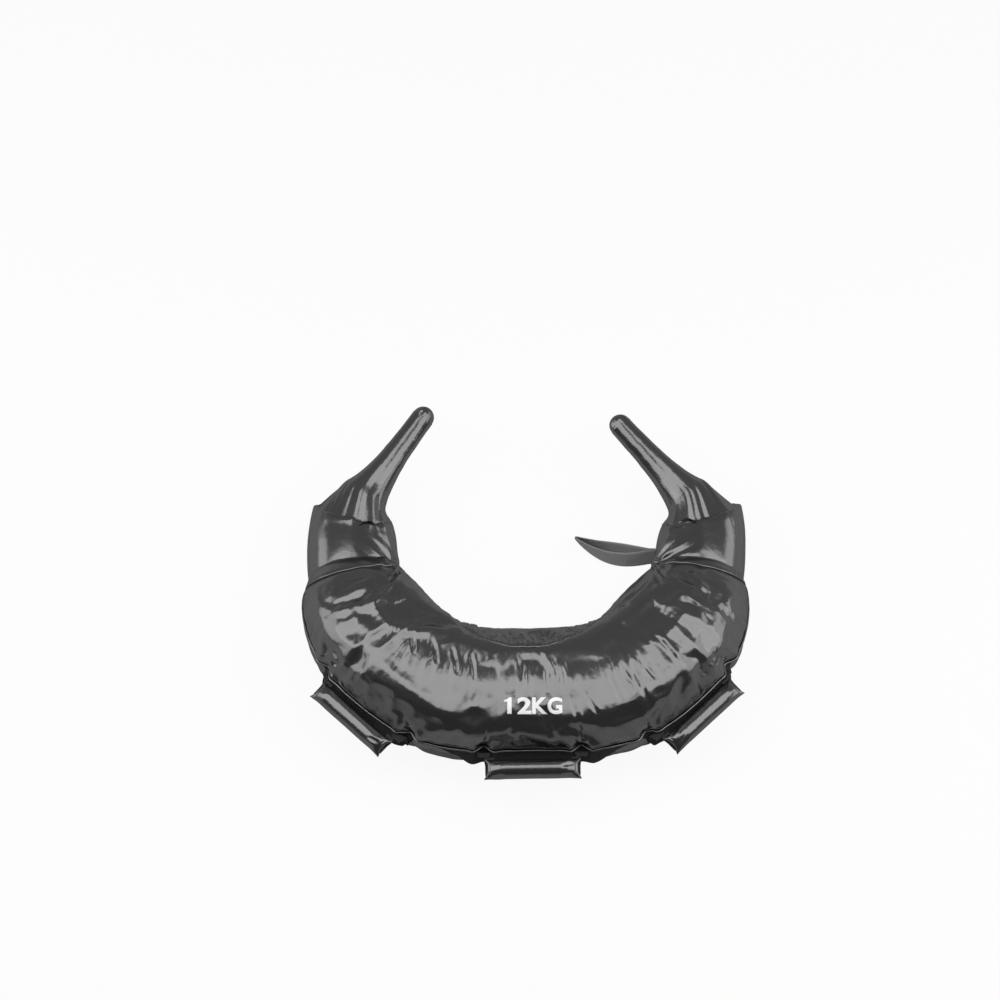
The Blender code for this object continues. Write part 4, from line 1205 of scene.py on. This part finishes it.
def buildGrips():
    plan = gripPlan
    for index, side in enumerate(("left", "centre", "right")):
        end = plan["span"] / 2 - plan["margin"]
        k = np.linspace(-1, 1, plan["rows"])
        x = (end * (0.8 * k + 0.2 * np.sin(k * np.pi / 2)))[:, None]
        turn = np.linspace(0, 2 * np.pi, plan["sides"], endpoint=False)[None, :]
        x, turn = np.broadcast_arrays(x, turn)
        half, thick, share = gripSection(x)
        lever = plan["lever"][side]
        arc = turn * plan["radius"] * 1000
        pull = np.sin(np.pi * np.clip(share * 1.25, 0, 1))
        folds = wavy(arc + 0.18 * x * 1000, 5.2, 110 + index) + 0.6 * wavy(arc, 9.0, 115 + index)
        uneven = cloudy(arc, x * 1000, 20.0, 24.0, 100 + index)
        relief = plan["uneven"] * uneven + plan["gather"] * pull * folds
        seam = np.exp(-((np.abs(turn - np.pi) - np.pi) * 13 / 1.6) ** 2)
        relief = relief - plan["seamDip"] * seam * (1 - share)
        rest = end - np.abs(x)
        seamRow = plan["rowDip"] * np.exp(-((rest - 0.0042) / 0.0010) ** 2)
        wide = half + relief * 0.5
        tall = np.maximum(thick + relief - seamRow, plan["thinnest"])
        corner = np.abs(np.cos(turn)) ** 4
        ear = np.sign(x) * share ** 3 * (plan["ear"] * corner - 0.0016 * (1 - corner))
        spread = 1 + 0.10 * share ** 3 * corner
        rings = gripPlace(side, x + ear, lever - wide * spread * np.cos(turn), tall * np.sin(turn))
        piece = addTube(side + "GripCover", rings, polishedLeather)
        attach(piece, side + "_grip")
        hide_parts(side + "_grip_cover")

        # a foam rod with a slit for the strap
        x = np.linspace(-plan["coreHalf"], plan["coreHalf"], 12)[:, None]
        turn = np.linspace(0.12, 2 * np.pi - 0.12, 40)[None, :]
        x, turn = np.broadcast_arrays(x, turn)
        radius = plan["radius"] - plan["coreInset"]
        ring = gripPlace(side, x, lever - radius * np.cos(turn), radius * np.sin(turn))
        slot = gripPlace(side, x[:, :2], np.full((12, 2), lever + plan["slot"]),
                         np.array([[-0.001, 0.001]] * 12))
        core = addTube(side + "GripCore", np.concatenate([ring, slot], 1), rubberFoam)
        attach(core, side + "_grip")
        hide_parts(side + "_grip_core")
    print("grips ready")


# Wrist loops: grey webbing on edge, folded back at the tip and sewn together with a zigzag

loopPlan = {
    "length": 0.106, "width": 0.025, "thick": 0.0019, "holeStart": 0.008, "floorGap": 0.0006,
    "open": {"left": 0.0015, "right": 0.0065},
    "root": {"left": (-0.1756, 0.08483), "right": (0.1713, 0.08483)},
    "yaw": {"left": 76.0, "right": 0.0}, "bow": {"left": 0.022, "right": 0.038},
    "bowPower": {"left": 2, "right": 3},
    "rootLean": {"left": 0.0, "right": 20.0}, "tipLean": {"left": 0.0, "right": -25.0}, "ripple": 0.0004,
    "tackFrom": 0.021, "tackTo": 0.039, "tackLow": 0.0055, "tackHigh": 0.0185, "tackCount": 8,
    "tackThread": 0.00042,
}


def loopPoint(side, u, v, height):
    # along the loop's bowed middle line, off to one side, and up its width
    plan = loopPlan
    sign = -1 if side == "left" else 1
    yaw = math.radians(plan["yaw"][side])
    root = np.array([*plan["root"][side], plan["floorGap"]])
    along = np.array([-sign * math.cos(yaw), -math.sin(yaw), 0.0])
    across = np.array([along[1], -along[0], 0.0]) * sign
    share = np.maximum(u / plan["length"], 0)
    bow = plan["bow"][side] * share ** plan["bowPower"][side]
    slope = plan["bow"][side] / plan["length"] * plan["bowPower"][side] * share ** (plan["bowPower"][side] - 1)
    beside = unitRows(across - along * slope[..., None])
    first, last = plan["rootLean"][side], plan["tipLean"][side]
    lean = np.radians(first + (last - first) * np.clip(share, 0, 1) ** 3)
    edge = np.cos(lean)[..., None] * np.array([0.0, 0.0, 1.0]) + np.sin(lean)[..., None] * across
    return (root + along * u[..., None] + across * bow[..., None] + beside * v[..., None]
            + edge * height[..., None])


def loopOpening(side, u):
    hole = loopPlan["length"] - loopPlan["holeStart"] - loopPlan["thick"]
    return loopPlan["open"][side] * np.sin(np.pi * np.clip((u - loopPlan["holeStart"]) / hole, 0, 1))


def buildLoops():
    plan = loopPlan
    for side in ("left", "right"):
        u = np.linspace(0, plan["length"] - 0.0012, 70)
        v = loopOpening(side, u) + plan["thick"] * 0.53
        path = np.concatenate([np.stack([u, v], 1), [[plan["length"], 0.0]], np.stack([u, -v], 1)[::-1]])
        run = np.concatenate([[0], np.cumsum(np.hypot(*np.diff(path, axis=0).T))])
        steps = np.linspace(0, run[-1], 240)
        path = np.stack([np.interp(steps, run, path[:, k]) for k in (0, 1)], 1)
        for _ in range(3):
            path[1:-1] = (path[:-2] + 2 * path[1:-1] + path[2:]) / 4
        tangent = unitRows(np.gradient(path, axis=0))
        outward = np.stack([-tangent[:, 1], tangent[:, 0]], 1)
        # section of the webbing: thick selvedges, slightly thinner between them
        k = np.linspace(0, 1, 15)
        half = plan["thick"] / 2 * (0.90 + 0.10 * np.cos(k * 2 * np.pi))
        half = half * np.sqrt(np.maximum(1 - (2 * k - 1) ** 16, 0.03))
        height = plan["width"] * np.concatenate([k, k[::-1]])
        off = np.concatenate([half, -half[::-1]])
        out = off + plan["ripple"] * wavy(steps, 0.019, 131)[:, None]
        rings = loopPoint(side, path[:, :1] + outward[:, :1] * out, path[:, 1:] + outward[:, 1:] * out,
                          np.broadcast_to(height, (len(path), len(height))))
        piece = addTube(side + "WristLoop", rings, greyWebbing)
        cloth = piece.data.attributes.new("cloth", "FLOAT_VECTOR", "POINT")
        values = np.zeros(rings.shape)
        values[..., 0] = steps[:, None]
        values[..., 1] = height
        cloth.data.foreach_set("vector", values.ravel())
        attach(piece, side + "_loop")
        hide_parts(side + "_wrist_loop")
        # zigzag tack through both legs
        marks = np.linspace(plan["tackFrom"], plan["tackTo"], plan["tackCount"] + 1)
        share = np.linspace(0, 1, 8)
        strokes = []
        for face in (-1, 1):
            for a in range(plan["tackCount"]):
                low, high = plan["tackHigh"], plan["tackLow"]
                if a % 2:
                    low, high = high, low
                along = marks[a] + (marks[a + 1] - marks[a]) * share
                rise = low + (high - low) * share
                gap = loopOpening(side, along)
                places, ahead = (loopPoint(side, along, face * (gap + plan["thick"] * out), rise)
                                 for out in (1.06, 2.06))
                strokes.append((places, unitRows(ahead - places)))
        addThreads(side + "LoopTack", strokes, side + "_loop", paleThread, plan["tackThread"])
    print("wrist loops ready")


# Fillings, which only show when the bag is opened

# insets are metres inside the skin; the plugs lie deeper towards the sleeves' mouths
fillingPlan = {
    "ends": 0.003, "parting": (0.1185, 0.1195), "sandInset": 0.0145, "sandRound": 0.014, "sandUneven": 0.010,
    "waddingInset": 0.0120, "waddingWall": 0.0020, "waddingRows": 160, "waddingSides": 72,
    "plugEnds": (0.004, 0.006), "plugInset": (0.0055, 0.0035),
}


def buildFillings():
    plan = fillingPlan
    edge = crossS - plan["ends"]
    near, far = plan["parting"]
    spans = {"left": (-edge, -far), "centre": (-near, near), "right": (far, edge)}
    for side, (low, high) in spans.items():
        s = np.linspace(low, high, 40)[:, None]
        theta = np.linspace(0, 360, 60, endpoint=False)[None, :]
        s, theta = np.broadcast_arrays(s, theta)
        places = smoothTube(s, theta, plan["sandInset"])
        middle = places.mean(1, keepdims=True)
        toEnd = np.minimum(s - low, high - s)
        scale = 0.5 + 0.5 * np.sqrt(np.clip(toEnd / plan["sandRound"], 0, 1))
        uneven = 1 - plan["sandUneven"] * (1 + cloudy(theta, s * 1000, 24.0, 18.0, 120))
        places = middle + (places - middle) * (scale * uneven)[..., None]
        bag = addTube(side + "SandBag", places, sandCanvas)
        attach(bag, "bag")
        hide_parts(side + "_sandbag")
    rows, sides = plan["waddingRows"], plan["waddingSides"]
    s = np.linspace(-edge, edge, rows)[:, None]
    theta = np.linspace(0, 360, sides, endpoint=False)[None, :]
    places = smoothTube(s, theta, plan["waddingInset"])
    sleeve = addPiece("waddingSleeve", places, gridFaces(rows, sides, False, True), fibreWadding)
    wall = sleeve.modifiers.new("wall", "SOLIDIFY")
    wall.thickness = plan["waddingWall"]
    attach(sleeve, "bag")
    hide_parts("wadding_sleeve")
    first, last = plan["plugEnds"]
    inset, deeper = plan["plugInset"]
    for side, sign in (("left", -1), ("right", 1)):
        s = sign * np.linspace(crossS + first, neckS - last, 24)[:, None]
        theta = np.linspace(0, 360, 48, endpoint=False)[None, :]
        plug = addTube(side + "EndWadding", skinAt(s, theta, -inset - deeper * sleeveShare(s)), fibreWadding)
        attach(plug, "bag")
        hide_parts(side + "_end_wadding")
    print("fillings ready")


# Near-black webbing sheets along the outer seam behind each grip: painted shade that fills the gap between each
# grip and the bag

shadeBackingPlan = {
    "beyond": {"left": 0.006, "centre": 0.044, "right": 0.006},
    "fade": {"left": 0.010, "centre": 0.034, "right": 0.010},
    "below": 0.0012, "width": 0.024, "tailWidth": 0.003, "lift": 0.0012, "standOff": 0.007, "wall": 0.0009,
    "follow": 1.35, "rows": 150, "across": 14,
}


def buildShadeBackings():
    plan = shadeBackingPlan
    for k, side in enumerate(("left", "centre", "right")):
        first, last = gripAnchors[2 * k], gripAnchors[2 * k + 1]
        s = np.linspace(first - plan["beyond"][side], last + plan["beyond"][side], plan["rows"])[:, None]
        inside = np.minimum(s - s[0], s[-1] - s) / plan["fade"][side]
        width = plan["tailWidth"] + (plan["width"] - plan["tailWidth"]) * smoothStep(inside)
        share = np.linspace(0, 1, plan["across"])[None, :]
        theta = bagPlan["topSeam"] - np.degrees((plan["below"] + width * share) / halfWidth(s))
        s = np.broadcast_to(s, theta.shape)
        lift = plan["lift"] + plan["standOff"] * (share * width / plan["width"]) ** 2
        places = skinAt(s, theta, lift)
        # each sheet is painted shade: near black, it fills the gap between grip and bag where the shadow lies
        piece = addSheetPiece(side + "GripShadeBacking", places, blackWebbingAndShade, plan["wall"])
        if side == "centre":
            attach(piece, "bag")
        else:       # the side ones stay where they are made, joined to no body
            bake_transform(piece)
    print("grip backings ready")


def dressCadNodes():
    materials = {side + "_loop_tail": greyTail for side in ("left", "right")}
    for side in ("left", "centre", "right"):
        for part in ("strap", "left_anchor", "right_anchor"):
            materials[side + "_grip_" + part] = blackWebbingAndShade
    for name, material in materials.items():
        node = frame["nodes"][name]
        node.data.materials.clear()
        node.data.materials.append(material)


# Seams: a row of thread beside each seam of the skin

stitchPlan = {
    "pitch": 0.0040, "length": 0.0027, "thread": 0.00036, "seamGap": 0.0048, "innerGap": -0.0030,
    "crossGaps": (-0.0042, 0.0046), "ends": (0.014, 0.012), "crossFrom": -35, "crossTo": 215,
}


def stitchRow(points, normals):
    # cuts a line on a surface into stitches
    pitch = stitchPlan["pitch"]
    run = np.concatenate([[0], np.cumsum(np.linalg.norm(np.diff(points, axis=0), axis=1))])
    strokes = []
    for k in range(int(run[-1] / pitch)):
        at = (k + 0.5) * pitch + np.linspace(-0.5, 0.5, 5) * stitchPlan["length"]
        places, outward = (np.stack([np.interp(at, run, rows[:, i]) for i in range(3)], 1)
                           for rows in (points, normals))
        strokes.append((places, unitRows(outward)))
    return strokes


def buildStitches():
    plan = stitchPlan
    s = np.linspace(plan["ends"][0] - crossS, crossS - plan["ends"][1], 900)
    strokes = []
    for seam, gap in ((bagPlan["topSeam"], plan["seamGap"]), (bagPlan["bottomSeam"], plan["seamGap"]),
                      (innerSeam(s), plan["innerGap"])):
        angle = np.broadcast_to(seam, s.shape)
        theta = angle + np.degrees(gap / sectionRadius(s, angle))
        strokes += stitchRow(skinAt(s, theta), tubeNormal(s, theta))
    theta = np.linspace(plan["crossFrom"], plan["crossTo"], 500)
    for sign in (-1, 1):
        for gap in plan["crossGaps"]:
            s = sign * (seamPlace(sign + 0 * theta, theta) + gap)
            strokes += stitchRow(skinAt(s, theta), tubeNormal(s, theta))
    addThreads("bagStitches", strokes, "bag", seamThread, plan["thread"])
    print("stitches", len(strokes))


panels = buildPanels()
buildPiping()
buildSleeves()
buildHorns()
buildGrips()
buildLoops()
buildShadeBackings()
buildStitches()
buildFillings()
dressCadNodes()


# Plain weight mark, printed on the upper panel

# each sign with its left and right edge, and the "1" as an outline, in mm on the plane of the folds
markPlan = {
    "signs": [("2", -11.7, 7.0), ("K", 7.9, 28.1), ("G", 28.3, 47.7)], "bottom": -119.2, "top": -97.0,
    "one": [(-24.9, -119.0), (-19.2, -119.0), (-19.2, -96.9), (-22.8, -97.1), (-24.4, -98.9), (-26.6, -100.1),
            (-29.5, -100.6), (-29.2, -102.9), (-24.9, -102.8)],
    "bold": 0.034, "edge": 0.0014, "proud": 0.00025, "ink": 0.0003,
}


def buildMark():
    work = bmesh.new()
    for sign, left, right in markPlan["signs"]:
        data = bpy.data.curves.new("weightMark", "FONT")
        data.body = sign
        data.offset = markPlan["bold"]
        data.fill_mode = "FRONT"
        item = bpy.data.objects.new("weightMarkText", data)
        bpy.context.collection.objects.link(item)
        bpy.context.view_layer.update()
        mesh = bpy.data.meshes.new_from_object(item.evaluated_get(bpy.context.evaluated_depsgraph_get()))
        bpy.data.objects.remove(item)
        first = len(work.verts)
        work.from_mesh(mesh)
        work.verts.ensure_lookup_table()
        added = work.verts[first:]
        places = np.array([v.co for v in added])
        low, high = places.min(0), places.max(0)
        bottom, top = markPlan["bottom"], markPlan["top"]
        for vertex in added:
            vertex.co.x = (left + (vertex.co.x - low[0]) / (high[0] - low[0]) * (right - left)) / 1000
            vertex.co.y = (bottom + (vertex.co.y - low[1]) / (high[1] - low[1]) * (top - bottom)) / 1000
            vertex.co.z = 0
    one = work.faces.new([work.verts.new((x / 1000, y / 1000, 0)) for x, y in markPlan["one"]])
    one.normal_update()
    bmesh.ops.triangulate(work, faces=work.faces)
    # small triangles, so that the print follows the folds
    for _ in range(4):
        long = [e for e in work.edges if e.calc_length() > markPlan["edge"]]
        if long:
            bmesh.ops.subdivide_edges(work, edges=long, cuts=1)
            bmesh.ops.triangulate(work, faces=work.faces)
    panel = panels["topPanel"].data
    tree = BVHTree.FromPolygons([v.co for v in panel.vertices], [tuple(p.vertices) for p in panel.polygons])
    sight = Vector((0, -photoPlane["z"], photoPlane["y"]))
    up = Vector((0, photoPlane["y"], photoPlane["z"]))
    for vertex in work.verts:
        rise = vertex.co.y - photoPlane["zero"] / 1000
        start = Vector((vertex.co.x, bagPlan["back"], 0)) + up * rise + sight
        place, normal, _, _ = tree.ray_cast(start, -sight)
        if normal.dot(sight) < 0:
            normal = -normal
        vertex.co = place + normal * markPlan["proud"]
    bmesh.ops.recalc_face_normals(work, faces=work.faces)
    if sum(f.normal.dot(sight) for f in work.faces) < 0:
        bmesh.ops.reverse_faces(work, faces=work.faces)
    work.to_mesh(mesh)
    work.free()
    mesh.shade_smooth()
    mesh.materials.clear()
    mesh.materials.append(printInk)
    mesh.name = "weightMark"
    piece = bpy.data.objects.new("weightMark", mesh)
    bpy.context.collection.objects.link(piece)
    wall = piece.modifiers.new("ink", "SOLIDIFY")
    wall.thickness = markPlan["ink"]
    wall.offset = -1
    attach(piece, "bag")
    print("mark ready", len(mesh.vertices))


buildMark()
